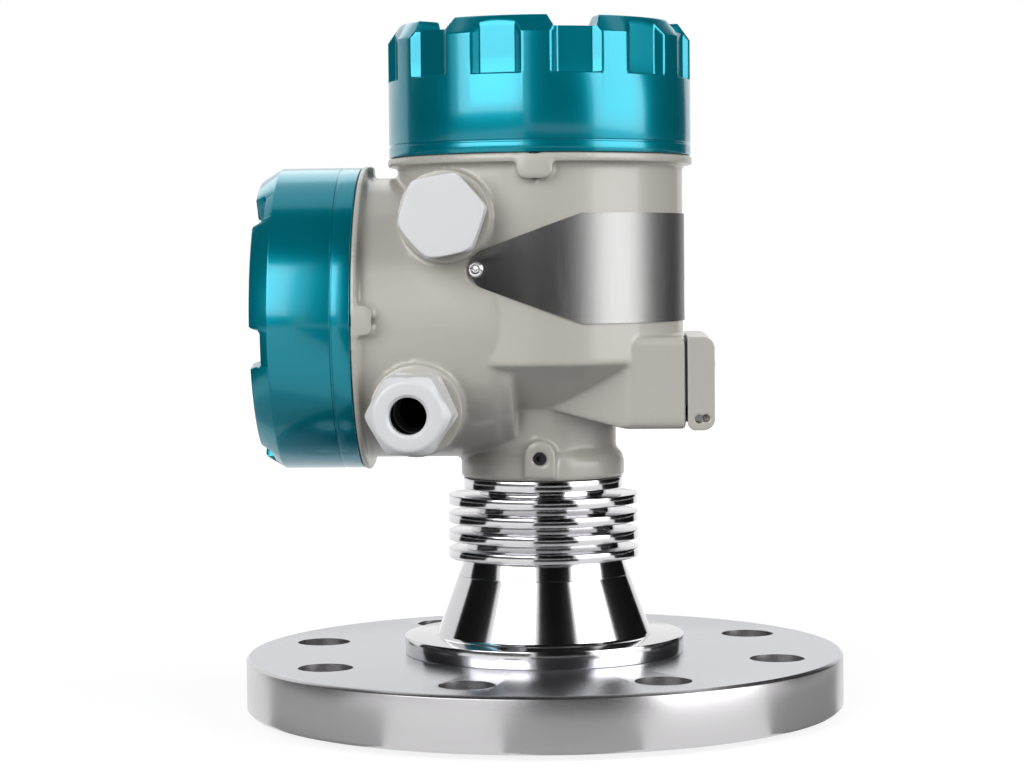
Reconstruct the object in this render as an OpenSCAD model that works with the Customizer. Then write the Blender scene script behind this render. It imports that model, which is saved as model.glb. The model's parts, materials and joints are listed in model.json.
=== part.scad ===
// Radar level transmitter with a flanged flush antenna, a finned cooling neck and a
// two-chamber cast housing that swivels on the neck. Lengths are in millimetres.
// Frame: origin at the centre of the sealing face, +Z up, side chamber along -X,
// cable entries facing -Y, local keys facing +X.

/* [Process flange] */
// Outside diameter of the flange plate
flange_od = 200; // [194:1:220]
// Thickness of the plate above its raised face
flange_t = 18; // [16:0.5:24]
// Outside diameter of the raised sealing face
face_od = 138; // [120:1:140]
// Height of the raised sealing face
face_h = 2; // [1:0.5:3]
// Diameter of the circle that the bolts stand on
bolt_pcd = 160; // [159:0.5:168]
// Number of bolt holes
bolt_count = 8; // [4:4:12]
// Diameter of a bolt hole
bolt_d = 18; // [14:0.5:18]
// Angle from +X to the first bolt hole
bolt_turn = -15.5; // [-22.5:0.5:22.5]
// Chamfer on the plate's outer edges
flange_chamfer = 1; // [0.5:0.25:2]

/* [Antenna] */
// Diameter of the seat that the lens fills
aperture_d = 76; // [70:1:80]
// Depth of the lens below the sealing face
lens_recess = 0.6; // [0.3:0.1:1.5]
// Thickness of the lens rim
lens_rim_t = 10.4; // [8:0.2:10.6]
// Thickness of the flat seal above the lens rim
lens_seal_t = 1; // [0.6:0.1:1.6]
// Width of the shoulder between the lens seat and the horn's mouth
horn_shoulder = 5; // [4:0.5:7]
// Height of the horn, from its mouth to its throat
horn_h = 48; // [44:1:50]
// Bore of the waveguide tube
guide_bore = 5.2; // [3:0.2:6]
// Wall of the waveguide tube
guide_wall = 2.4; // [1.2:0.2:3]

/* [Antenna hub] */
// Diameter of the disc that rests on the flange
hub_disc_d = 93.6; // [88:0.5:110]
// Thickness of that disc
hub_disc_t = 5.9; // [4:0.1:8]
// Diameter of the cone at its foot
hub_foot_d = 71.6; // [68:0.5:80]
// Diameter of the cone at its top
hub_top_d = 57.4; // [52:0.2:60]
// Height of the hub above the flange
hub_h = 26.2; // [24:0.2:36]

/* [Cooling neck] */
// Diameter of the neck's tapering foot where it meets the lowest fin
foot_d = 53.6; // [50:0.2:58]
// Height of that foot
foot_h = 5.8; // [3:0.2:8]
// Diameter of a cooling fin
fin_d = 63.8; // [60:0.5:72]
// Thickness of a cooling fin
fin_t = 3.2; // [2.4:0.1:4]
// Distance from one fin to the next
fin_pitch = 6; // [5.5:0.25:9]
// Number of cooling fins
fin_count = 4; // [3:1:7]
// Edge radius of a cooling fin
fin_edge = 0.4; // [0.2:0.1:1.2]
// Diameter of the core above the lowest fin
core_low_d = 52.4; // [44:0.2:54]
// Diameter of the core above the highest fin
core_high_d = 42.4; // [32:0.2:46]
// Height of the core between the highest fin and the stub disc
stub_gap = 2.1; // [1.5:0.1:5]
// Diameter of the stub disc that the housing turns on
stub_d = 53.6; // [50:0.5:54]
// Thickness of the stub disc
stub_t = 3.5; // [2.5:0.25:6]
// Diameter of the spigot inside the housing
spigot_d = 42; // [40:0.5:43]

/* [Housing] */
// Diameter of the collar at the bottom
collar_d = 54.6; // [52:0.5:60]
// Height of the collar
collar_h = 8; // [7:0.25:9]
// Diameter of the throat above the collar
throat_d = 49.4; // [48:0.5:51]
// Height of the throat's top above the housing's bottom
throat_h = 23.4; // [20:0.5:27]
// Height of the flare from the throat to the main chamber
flare_h = 15.4; // [14.5:0.5:20]
// Outside diameter of the main chamber
chamber_d = 94.8; // [93:0.5:98]
// Height of the main chamber, from the flare to its lip
chamber_h = 64.7; // [62:0.5:74]
// Wall of both chambers
wall = 4.4; // [3.6:0.2:5]
// Thickness of the lip under each cover
lip_t = 3; // [2.4:0.2:4]
// Height of the side chamber's axis above the flare
side_rise = 14.7; // [13.5:0.5:17]
// How much smaller the side chamber is across than the main chamber
side_less = 1.4; // [0.4:0.1:2.4]
// Distance from the main axis to the seat of the side cover
side_reach = 59.2; // [58:0.5:66]
// Distance from the main axis to the side chamber's inner end
side_back = 8; // [6:0.5:10]
// Rounding of the side chamber's inner end
side_round = 7; // [4:0.5:9]
// Distance from the main axis to the terminal side of the partition
partition_x = 18; // [17:0.5:20]
// Thickness of the partition and of the shelf above the side chamber
partition_t = 3; // [2.4:0.2:4]

/* [Covers] */
// Distance that the covers stand out past the main chamber
cover_step = 2.9; // [2:0.1:4.5]
// Height of the top cover
top_cover_h = 43.7; // [42:0.5:52]
// Height of the side cover
side_cover_h = 32.9; // [31:0.5:42]
// Step from the main chamber's outside in to the threaded necks
thread_step = 1.4; // [1.1:0.1:1.7]
// Length of the threaded necks
thread_h = 12; // [10:0.5:14]
// Height of the chamfer round the top cover's crown
crown_chamfer_h = 5.6; // [4:0.2:7]
// Height of the chamfer round the side cover's end
end_chamfer_h = 6.5; // [4:0.5:8]
// Depth of both chamfers, across the axis
chamfer_in = 4; // [3:0.25:4.5]
// Width of the rim round a cover's sunk centre
rim_w = 8.2; // [7:0.2:9]
// Depth of a cover's sunk centre
sunk_h = 4; // [3.8:0.1:5]
// Depth of the notches through the rims
notch_h = 3.8; // [2:0.2:3.8]
// Number of grip pockets round the top cover
pocket_count = 12; // [6:2:14]
// Width of a grip pocket at its mouth
pocket_w = 17; // [12:0.5:18]
// Width of a grip pocket at its floor
pocket_floor_w = 11.5; // [6:0.5:11.5]
// Depth of a grip pocket
pocket_depth = 2.7; // [1.5:0.1:3]
// Height of a grip pocket
pocket_h = 18.5; // [12:0.5:20]
// Angle from -Y to the middle of the first pocket
pocket_turn = 16; // [0:1:30]
// Width of a side cover notch at its floor
side_notch_w = 11; // [8:0.5:14]
// Number of side cover notches
side_notch_count = 6; // [4:1:8]
// Angle from -Y to the first side cover notch
side_notch_turn = -10.7; // [-30:0.1:30]
// Wall of the covers above their thread
cover_wall = 5.7; // [5.4:0.1:6.4]

/* [Window] */
// Distance from the covers' inner wall in to the window glass
glass_in = 5.6; // [5.2:0.1:6.6]
// Width of the glass edge that the crown holds
glass_hold = 5; // [4.5:0.5:10]
// Thickness of the window glass
glass_t = 5; // [4:0.5:6]
// Thickness of the gasket above the glass
glass_gasket_t = 1; // [0.6:0.1:1.6]
// Height of the ring that holds the glass
glass_ring_h = 4; // [3:0.5:5]
// Width of that ring
glass_ring_w = 6.5; // [5.5:0.5:8]

/* [Cable entries] */
// Diameter of both entry bosses
entry_boss_d = 29.8; // [28:0.5:32]
// How far the faces of both bosses stand out past the main chamber
entry_proud = 2.6; // [0.6:0.1:6]
// Distance of the gland's axis from the end of the side chamber
gland_in = 20.7; // [19.7:0.1:22]
// Depth of the gland's axis below the side chamber's axis
gland_drop = 28.8; // [26:0.2:29]
// Distance of the plug's axis from the main axis, along -X
plug_x = 28.8; // [28.2:0.2:32]
// Height of the plug's axis above the side chamber's axis
plug_rise = 33; // [31:0.5:33]
// Bore of both entries
entry_bore = 20; // [19:0.5:20.5]
// Width across flats of the gland and of the plug
hex_af = 24; // [23:0.5:27]
// Height of the gland body's hexagon
gland_hex_h = 7; // [5:0.5:9]
// Length of the gland nut
gland_nut_h = 24; // [22:0.5:28]
// Diameter of the cable opening in the gland nut
cable_d = 11.7; // [8:0.1:12]
// Height of the plug's head
plug_head_h = 13; // [9:0.5:16]
// Turn of the gland nut's flats
gland_hex_turn = -6; // [-30:1:30]
// Turn of the plug's flats
plug_hex_turn = -15; // [-30:1:30]

/* [Key box] */
// Width of the key box across the housing
key_box_w = 73; // [70:0.5:76]
// Height of the key box
key_box_h = 29.8; // [28:0.2:31]
// Height of the key box's top above the flare
key_box_rise = 8.4; // [7.5:0.1:9]
// Distance that the key box's face stands out past the main chamber
key_face_out = 0.1; // [0.05:0.05:2.5]
// Rounding of the key box's long edges
key_round = 2.6; // [1.5:0.2:3]
// Thickness of the key cover
key_cover_t = 8.8; // [8.2:0.1:10]
// Gap between the key box and its cover
key_gap = 0.7; // [0.6:0.1:1.2]
// Rounding of the key cover's outer edges
key_cover_round = 3.9; // [2:0.1:4]
// Depth of the room for the keys in the cover
key_room = 5; // [4.6:0.1:5.4]
// Distance from the box's face to the hinge pin
hinge_out = 4.3; // [4.1:0.1:4.6]
// Height of the hinge pin above the key box's bottom
hinge_up = 3.3; // [3.1:0.1:3.6]
// Diameter of the hinge pin
hinge_pin_d = 2.7; // [2:0.1:3]
// Distance from the key box's ends to the outer keys
key_end = 9.5; // [9.2:0.1:11]
// Diameter of a key's head
key_d = 9; // [7:0.5:9.5]
// Diameter of a key's stem
key_stem_d = 4; // [3:0.25:5]
// Travel of a key
key_travel = 1.5; // [1:0.1:1.5]

/* [Nameplate] */
// Height of the nameplate
plate_h = 35.4; // [30:0.2:40]
// Thickness of the nameplate
plate_t = 0.5; // [0.4:0.1:1]
// Angle from -Y to the nameplate's near tip
plate_near = -27; // [-32:1:-24]
// Angle between a tip and the start of the full height
plate_taper = 45.3; // [36:0.1:50]
// Rounding of the nameplate's two tips
plate_tip_r = 6.3; // [3:0.1:8]
// Angle that the nameplate covers
plate_sweep = 179.5; // [150:0.5:182]
// Height of the nameplate's middle above the flare
plate_rise = 30.8; // [29:0.2:33]
// Diameter of the heads of its two screws
plate_screw_d = 5.4; // [3:0.1:6]

/* [Clearances] */
// Gap between faces that turn on each other
turn_gap = 0.1; // [0.05:0.05:0.3]
// Gap round a shaft that turns in its bore
run_fit = 0.05; // [0.02:0.01:0.08]
// Gap between a cover's bore and the neck it screws on
thread_gap = 0.35; // [0.3:0.05:0.5]
// Gap round a piece that is fixed in its seat
seat_fit = 0.1; // [0.05:0.05:0.2]

/* [Hidden] */
$fn = 96;
eps = 0.01;

steel = [0.74, 0.74, 0.75];
paint_grey = [0.72, 0.71, 0.67];
paint_teal = [0.0, 0.46, 0.52];
entry_white = [0.87, 0.88, 0.90];
rubber_black = [0.10, 0.10, 0.11];
ptfe_white = [0.93, 0.93, 0.91];
board_green = [0.08, 0.32, 0.20];
moulded_grey = [0.25, 0.26, 0.28];

// Levels along the main axis, from the sealing face upwards
plate_top = face_h + flange_t;
hub_top = plate_top + hub_h;
fin_bottom = hub_top + foot_h;
fins_top = fin_bottom + (fin_count - 1) * fin_pitch + fin_t;
stub_bottom = fins_top + stub_gap;
stub_top = stub_bottom + stub_t;
house_bottom = stub_top + turn_gap;
collar_top = house_bottom + collar_h;
throat_top = house_bottom + throat_h;
chamber_bottom = throat_top + flare_h;
lip_bottom = chamber_bottom + chamber_h;
deck = lip_bottom + lip_t;
side_z = chamber_bottom + side_rise;

// Diameters that follow the main chamber
side_d = chamber_d - side_less;
cover_d = chamber_d + 2 * cover_step;

// Antenna
lens_seat_top = lens_recess + lens_rim_t + lens_seal_t;
horn_top = lens_seat_top + horn_h;
horn_mouth_r = aperture_d / 2 - horn_shoulder;
guide_r = guide_bore / 2 + guide_wall;

// Bores and seats in the housing
spigot_r = spigot_d / 2;
floor_z = throat_top + 2.2;
ring_t = 1.5;
ring_room = 3.2;
ring_out = 2;
ring_in = 1.4;
spigot_top = floor_z + ring_room - 0.5;
bore_r = spigot_r + run_fit;
chamber_r = chamber_d / 2 - wall;
ledge_w = 3;
ledge_z = chamber_bottom + 4.7;
ring_split = 4;
ring_bay_r = spigot_r + ring_out + 0.5;
neck_wall = 2.4;
neck_post_top = floor_z + ring_room + neck_wall;
flare_slope = flare_h / (chamber_d / 2 - throat_d / 2);
side_r = side_d / 2 - wall - 0.3;
shelf_z = side_z + side_r + partition_t + 0.6;
lip_r = cover_d / 2 + 0.4;
neck_r = chamber_d / 2 - thread_step;

// Lock lugs under the covers, and the lock screws in them
lug_w = 11.4;
lug_h = 5.3;
lug_in = 10.7;
side_lug_w = 9.9;
side_lug_h = 7.3;
small_lug_h = 3.6;
lock_screw_r = 1.6;
lock_r = lip_r - 2.3;

// Set screw that clamps the collar on the spigot
set_screw_d = 4.4;
set_boss_w = 10.4;
set_boss_out = 1.2;
set_screw_z = house_bottom + 7.45;
set_boss_top = house_bottom + 13.5;
set_groove = 1.4;
neck_seal_t = 2.4;
neck_seal_z = set_screw_z + 6;

// Covers
cover_bore_r = neck_r + thread_gap;
room_r = cover_d / 2 - cover_wall;
top_seat = deck + turn_gap;
top_end = top_seat + top_cover_h;
side_seat = side_reach + turn_gap;
rim_r = cover_d / 2 - chamfer_in - rim_w;
glass_d = 2 * (room_r - glass_in);
view_d = glass_d - 2 * glass_hold;
seal_in_r = cover_bore_r + 0.8;
seal_w = 1.8;
seal_h = 1.8;
view_floor = top_end - sunk_h;
view_t = 2.6;
glass_top = view_floor - view_t - glass_gasket_t;
glass_bottom = glass_top - glass_t;
glass_ring_bottom = glass_bottom - glass_ring_h;
glass_ring_r = glass_d / 2 + 3;
end_wall = 4;

// Cable entries
gland_z = side_z - gland_drop;
plug_z = side_z + plug_rise;
entry_r = entry_bore / 2;
gland_shank = 16;
gland_thread_r = entry_r - 0.6;
entry_face_y = chamber_d / 2 + entry_proud;
gland_x = side_reach - gland_in;
gland_nut_face = entry_face_y + gland_hex_h + turn_gap + gland_nut_h;
gland_thread_len = gland_nut_h / 2;
gland_room_r = entry_r - 1.2;
gland_pass_r = cable_d / 2 + 0.5;
gland_floor = 6;
plug_gasket_t = 1.4;
plug_shank = 12;

// Key box
key_face_x = chamber_d / 2 + key_face_out;
key_pitch = (key_box_w - 2 * key_end) / 3;
key_top = chamber_bottom + key_box_rise;
key_bottom = key_top - key_box_h;
key_back = key_face_x + key_gap;
key_out = key_back + key_cover_t;
hinge_x = key_face_x + hinge_out;
hinge_z = key_bottom + hinge_up;
hinge_hole_r = hinge_pin_d / 2 + run_fit;
hinge_round = hinge_out - 0.2;
hinge_pin_in = 5.5;
end_hole_out = 2.2;
end_hole_d = 2.6;
end_hole_h = 4;
ear_r = hinge_up - 0.1;
ear_gap = 0.4;
ear_w = 8;
ear_y = key_box_w / 4 + 4;
key_room_low = hinge_up + ear_r + 3.4;
key_room_h = key_box_h - key_room_low - 4;
key_z = key_bottom + key_room_low + key_room_h / 2;
key_screw_z = key_top - 10.4;
key_screw_d = 2.3;
key_pillar_d = key_screw_d + 3.1;
key_head_t = 2;
key_head_x = key_face_x + key_travel + 0.2;
key_stem_in = 16;
key_places = [-1.5, -0.5, 0.5, 1.5];

// Nameplate
plate_r = chamber_d / 2 + 0.05;
plate_z = chamber_bottom + plate_rise;
plate_screw_in = 3.7;
plate_screw_deep = 5;
plate_recess_out = 9;
plate_room = 0.5;
plate_screw_angles = [plate_near + plate_screw_in, plate_near + plate_sweep - plate_screw_in];

// Inner parts
cup_flat_x = -partition_x + partition_t + 0.5;
cup_r = chamber_r - 0.4;
display_t = 8;
display_r = chamber_r - 0.4;
screen_w = 50;
screen_d = 30;
screen_t = 1.6;
terminal_w = 52;
terminal_h = 26;
terminal_d = 15;
terminal_ways = 6;
terminal_plate_t = 1.6;
terminal_screw_d = 6;
terminal_shank = 5.5;
ground_up = -terminal_h / 2 - 4.4;
ground_y = 20;
feed_up = 28;
feed_y = 14;
feed_r = 5;
radar_r = 14;
board_screw_d = 5.6;
board_screw_in = 6;
board_shank = 4.6;
small_head_h = 1.8;
small_shank_d = 3;

// Turns children so that their +Z runs out along the side chamber's axis
module out_of_side(distance) {
    translate([-distance, 0, side_z]) rotate([0, -90, 0]) children();
}

// Turns children so that their +Z runs towards -Y, at a place on the front
module out_of_front(x, y, z) {
    translate([x, -y, z]) rotate([90, 0, 0]) children();
}

// Turns children so that their +Z runs towards +X
module out_of_key_side(x, y, z) {
    translate([x, y, z]) rotate([0, 90, 0]) children();
}

// A round ring with a plain rectangular section
module plain_ring(r_out, r_in, h) {
    difference() {
        cylinder(r = r_out, h = h);
        translate([0, 0, -eps]) cylinder(r = r_in, h = h + 2 * eps);
    }
}

// A hexagonal prism whose rims are turned down to a chamfer
module turned_hex(af, h, chamfer_low, chamfer_high) {
    across = af / cos(30);
    lower = max(chamfer_low, eps);
    upper = max(chamfer_high, eps);
    slope = 0.6;
    intersection() {
        cylinder(d = across, h = h, $fn = 6);
        rotate_extrude() polygon([
            [0, 0], [across / 2 - lower, 0], [across / 2, lower * slope],
            [across / 2, h - upper * slope], [across / 2 - upper, h], [0, h]
        ]);
    }
}

// A rectangle in the plane with all four corners rounded
module rounded_rectangle(w, h, r) {
    translate([r, 0]) square([w - 2 * r, h]);
    translate([0, r]) square([w, h - 2 * r]);
    for (x = [r, w - r], y = [r, h - r]) translate([x, y]) circle(r = r);
}

// ---- Process connection ------------------------------------------------------------

module process_flange() {
    color(steel)
    difference() {
        rotate_extrude() polygon([
            [aperture_d / 2, 0], [face_od / 2, 0], [face_od / 2, face_h],
            [flange_od / 2 - flange_chamfer, face_h],
            [flange_od / 2, face_h + flange_chamfer],
            [flange_od / 2, plate_top - flange_chamfer],
            [flange_od / 2 - flange_chamfer, plate_top],
            [aperture_d / 2 - 2, plate_top],
            [aperture_d / 2 - 2, lens_seat_top], [aperture_d / 2, lens_seat_top]
        ]);
        for (i = [0 : bolt_count - 1])
            rotate([0, 0, bolt_turn + i * 360 / bolt_count])
                translate([bolt_pcd / 2, 0, face_h - 1])
                    cylinder(d = bolt_d, h = flange_t + 2);
    }
}

// Radius of the horn's wall at a height
function horn_r(z) = horn_mouth_r
    + (guide_bore / 2 - horn_mouth_r) * (z - lens_seat_top) / horn_h;

module antenna_hub() {
    spigot = aperture_d / 2 - 2 - seat_fit;
    color(steel)
    rotate_extrude() polygon([
        [horn_mouth_r, lens_seat_top], [spigot, lens_seat_top], [spigot, plate_top],
        [hub_disc_d / 2 - 0.6, plate_top], [hub_disc_d / 2, plate_top + 0.6],
        [hub_disc_d / 2, plate_top + hub_disc_t - 0.6],
        [hub_disc_d / 2 - 0.6, plate_top + hub_disc_t],
        [hub_foot_d / 2 + 0.8, plate_top + hub_disc_t],
        [hub_foot_d / 2, plate_top + hub_disc_t + 0.8],
        [hub_top_d / 2, hub_top], [horn_r(hub_top), hub_top]
    ]);
}

module lens_antenna() {
    color(ptfe_white)
    rotate_extrude() polygon([
        [0, lens_recess], [aperture_d / 2 - seat_fit, lens_recess],
        [aperture_d / 2 - seat_fit, lens_recess + lens_rim_t],
        [horn_mouth_r - 1, lens_recess + lens_rim_t],
        [horn_mouth_r - 1, lens_seat_top], [guide_bore / 2 - 0.4, horn_top - 1.5],
        [0, horn_top - 1.5]
    ]);
}

module lens_seal() {
    color(rubber_black)
    translate([0, 0, lens_recess + lens_rim_t])
        plain_ring(aperture_d / 2 - seat_fit, horn_mouth_r + 0.5, lens_seal_t);
}

// Outline of one fin with rounded edges, out to the fin's radius
module fin_outline() {
    r = fin_d / 2 - fin_edge;
    translate([0, fin_t / 2]) {
        translate([0, -fin_t / 2]) square([r, fin_t]);
        translate([0, fin_edge - fin_t / 2]) square([fin_d / 2, fin_t - 2 * fin_edge]);
        for (s = [-1, 1])
            translate([r, s * (fin_t / 2 - fin_edge)]) circle(r = fin_edge);
    }
}

module cooling_neck() {
    groove_low = set_screw_z - set_screw_d / 2 - 0.6;
    groove_high = set_screw_z + set_screw_d / 2 + 0.6;
    ring_z = floor_z + turn_gap / 2;
    color(steel)
    difference() {
        rotate_extrude() {
            polygon([
                [0, hub_top], [hub_top_d / 2, hub_top], [foot_d / 2, fin_bottom],
                [core_low_d / 2, fin_bottom + fin_t], [core_high_d / 2, fins_top],
                [core_high_d / 2, stub_bottom], [stub_d / 2, stub_bottom],
                [stub_d / 2, stub_top], [spigot_r, stub_top],
                [spigot_r, groove_low], [spigot_r - set_groove, groove_low],
                [spigot_r - set_groove, groove_high], [spigot_r, groove_high],
                [spigot_r, neck_seal_z], [spigot_r - 2, neck_seal_z],
                [spigot_r - 2, neck_seal_z + neck_seal_t + 0.2],
                [spigot_r, neck_seal_z + neck_seal_t + 0.2],
                [spigot_r, ring_z], [spigot_r - ring_in, ring_z],
                [spigot_r - ring_in, ring_z + ring_t + turn_gap],
                [spigot_r, ring_z + ring_t + turn_gap],
                [spigot_r, spigot_top], [0, spigot_top]
            ]);
            for (i = [0 : fin_count - 1])
                translate([0, fin_bottom + i * fin_pitch]) fin_outline();
        }
        rotate_extrude() polygon([
            [0, hub_top - eps], [horn_r(hub_top), hub_top - eps],
            [guide_bore / 2, horn_top], [guide_r + seat_fit / 2, horn_top],
            [guide_r + seat_fit / 2, spigot_top + eps], [0, spigot_top + eps]
        ]);
    }
}

module waveguide_tube() {
    color("gold")
    translate([0, 0, horn_top])
        plain_ring(guide_r, guide_bore / 2, spigot_top - horn_top);
}

module neck_seal() {
    color(rubber_black)
    translate([0, 0, neck_seal_z + 0.1])
        plain_ring(bore_r - 0.3, spigot_r - 2 + 0.05, neck_seal_t);
}

// Snap ring that keeps the housing on the spigot, split towards +X
module retaining_ring() {
    color(steel)
    translate([0, 0, floor_z + turn_gap])
        difference() {
            plain_ring(spigot_r + ring_out, spigot_r - ring_in + 0.05, ring_t);
            translate([0, -ring_split / 2, -1]) cube([spigot_d, ring_split, ring_t + 2]);
        }
}

// ---- Housing -----------------------------------------------------------------------

// Outside of the collar, throat, flare, main chamber, lip and threaded neck
module main_body() {
    rotate_extrude() polygon([
        [0, house_bottom], [collar_d / 2 - 0.8, house_bottom],
        [collar_d / 2, house_bottom + 0.8], [collar_d / 2, collar_top - 2.4],
        [collar_d / 2 - 0.8, collar_top], [throat_d / 2, collar_top + 1.6],
        [throat_d / 2, throat_top], [chamber_d / 2, chamber_bottom],
        [chamber_d / 2, lip_bottom], [lip_r, lip_bottom], [lip_r, deck],
        [neck_r, deck], [neck_r, deck + thread_h], [0, deck + thread_h]
    ]);
}

// Outside of the side chamber, from its rounded inner end to its threaded neck
module side_body() {
    length = side_reach - side_back;
    r = side_d / 2;
    out_of_side(side_back) {
        rotate_extrude() intersection() {
            union() {
                translate([0, side_round]) square([r, length - side_round]);
                square([r - side_round, length]);
                translate([r - side_round, side_round]) circle(r = side_round);
            }
            square([r, length]);
        }
        translate([0, 0, length - lip_t + 0.8]) cylinder(r = lip_r, h = lip_t - 0.8);
        cylinder(r = neck_r, h = length + thread_h);
    }
}

// A lock lug at a cover's lip, drawn in the plane of its face
module lug_outline(w, h) {
    r = min(w, h) * 0.45;
    translate([-w / 2, r]) square([w, h - r]);
    translate([-w / 2 + r, 0]) square([w - 2 * r, h]);
    for (x = [-w / 2 + r, w / 2 - r]) translate([x, r]) circle(r = r);
}

module lock_lugs() {
    intersection() {
        out_of_front(0, lip_r - lug_in, lip_bottom - lug_h)
            linear_extrude(height = 20) lug_outline(lug_w, lug_h + 1);
        cylinder(r = lip_r + 0.3, h = deck);
    }
    intersection() {
        union() {
            out_of_front(-side_reach + side_lug_h, lip_r - lug_in, side_z)
                rotate([0, 0, 90]) linear_extrude(height = 20)
                    lug_outline(side_lug_w, side_lug_h);
            translate([-side_reach + small_lug_h, 0, side_z + lip_r - lug_in])
                rotate([0, 0, 90]) linear_extrude(height = 20)
                    lug_outline(side_lug_w, small_lug_h);
        }
        out_of_side(side_back) cylinder(r = lip_r, h = side_reach - side_back);
    }
}

// Both entry bosses, as far in as the chamber they open into
module entry_bosses() {
    depth = entry_face_y - 20;
    out_of_front(-gland_x, 20, gland_z) cylinder(d = entry_boss_d, h = depth);
    out_of_front(-plug_x, 20, plug_z) cylinder(d = entry_boss_d, h = depth);
}

// The key box and the wedge-shaped web that carries it, as three outlines crossed
module key_box() {
    half = key_box_w / 2;
    start_x = 2;
    bend_x = 29;
    deep = 2 * half;
    intersection() {
        translate([0, 0, key_bottom - 5]) linear_extrude(height = key_box_h + 10)
            polygon([
                [start_x, -throat_d / 2], [bend_x, -half], [key_face_x, -half],
                [key_face_x, half], [bend_x, half], [start_x, throat_d / 2]
            ]);
        translate([0, half + 1, 0]) rotate([90, 0, 0]) linear_extrude(height = deep + 2)
            polygon([
                [0, throat_top + 0.4], [start_x, throat_top + 0.4],
                [bend_x - 3, key_bottom + 0.6], [bend_x, key_bottom],
                [key_face_x, key_bottom], [key_face_x, key_top], [0, key_top]
            ]);
        translate([0, -half, key_bottom]) rotate([90, 0, 90])
            linear_extrude(height = key_face_x)
                rounded_rectangle(key_box_w, key_box_h, key_round);
    }
}

// Two ears that hold the key cover's pin
module hinge_ears() {
    for (s = [-1, 1])
        translate([0, s * ear_y + ear_w / 2, 0]) rotate([90, 0, 0]) {
            translate([hinge_x, hinge_z, 0]) cylinder(r = ear_r, h = ear_w);
            translate([key_face_x - 4, hinge_z - 1, 0])
                cube([hinge_out + 4, ear_r, ear_w]);
        }
}

module set_screw_boss() {
    r = set_boss_w / 2;
    out_of_front(0, 22, 0)
        linear_extrude(height = collar_d / 2 + set_boss_out - 22) {
            translate([-r, house_bottom + 1])
                square([set_boss_w, set_boss_top - r - house_bottom - 1]);
            translate([0, set_boss_top - r]) circle(r = r);
        }
}

// Room for the retaining ring, the electronics and the display
module main_cavity() {
    foot_rise = (chamber_r - ledge_w - ring_bay_r) * flare_slope;
    translate([0, 0, house_bottom - 1]) cylinder(r = bore_r, h = floor_z - house_bottom + 2);
    intersection() {
        rotate_extrude() polygon([
            [0, floor_z], [ring_bay_r, floor_z], [ring_bay_r, floor_z + ring_room],
            [chamber_r - ledge_w, floor_z + ring_room + foot_rise],
            [chamber_r - ledge_w, ledge_z], [chamber_r, ledge_z],
            [chamber_r, shelf_z + 1], [0, shelf_z + 1]
        ]);
        translate([-partition_x + partition_t, -chamber_d, floor_z - 1])
            cube([2 * chamber_d, 2 * chamber_d, shelf_z]);
    }
    cylinder(r = ring_bay_r, h = floor_z + ring_room);
    translate([0, 0, shelf_z]) cylinder(r = chamber_r, h = deck + thread_h - shelf_z + 1);
}

module housing() {
    key_bore_r = key_stem_d / 2 + run_fit;
    color(paint_grey)
    difference() {
        union() {
            main_body();
            side_body();
            lock_lugs();
            entry_bosses();
            set_screw_boss();
            key_box();
            hinge_ears();
        }
        difference() {
            main_cavity();
            translate([0, 0, house_bottom - 2]) difference() {
                cylinder(r = ring_bay_r + 2, h = floor_z - house_bottom + 2);
                translate([0, 0, -1]) cylinder(r = bore_r, h = floor_z);
            }
        }
        difference() {
            out_of_side(partition_x)
                cylinder(r = side_r, h = side_reach + thread_h - partition_x + 1);
            cylinder(r = ring_bay_r + neck_wall, h = neck_post_top);
        }
        out_of_front(-gland_x, 20, gland_z) cylinder(r = entry_r, h = entry_face_y);
        out_of_front(-plug_x, 20, plug_z) cylinder(r = entry_r, h = entry_face_y);
        out_of_front(0, 10, set_screw_z) cylinder(d = set_screw_d + 0.1, h = collar_d);
        for (place = key_places)
            out_of_key_side(chamber_r - 25, place * key_pitch, key_z)
                cylinder(r = key_bore_r, h = key_face_x);
        out_of_key_side(key_face_x - 7, 0, key_screw_z)
            cylinder(d = key_screw_d + 0.2, h = 8);
        translate([hinge_x, key_box_w, hinge_z]) rotate([90, 0, 0])
            cylinder(r = hinge_hole_r, h = 2 * key_box_w);
        translate([0, -lock_r, lip_bottom - lug_h - 1])
            cylinder(r = lock_screw_r + 0.1, h = lug_h + lip_t + 2);
        out_of_side(side_reach - side_lug_h - 1)
            translate([0, -lock_r, 0]) cylinder(r = lock_screw_r + 0.1, h = side_lug_h + 2);
        out_of_side(partition_x - partition_t - 1)
            translate([feed_up, feed_y, 0]) cylinder(r = feed_r + seat_fit, h = 10);
        plate_screw_holes();
        plate_recess();
    }
}

module plate_screw_holes() {
    for (a = plate_screw_angles)
        rotate([0, 0, a]) out_of_front(0, chamber_d / 2 - 2.6, plate_z)
            cylinder(d = plate_screw_d / 2, h = plate_screw_deep);
}

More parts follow.
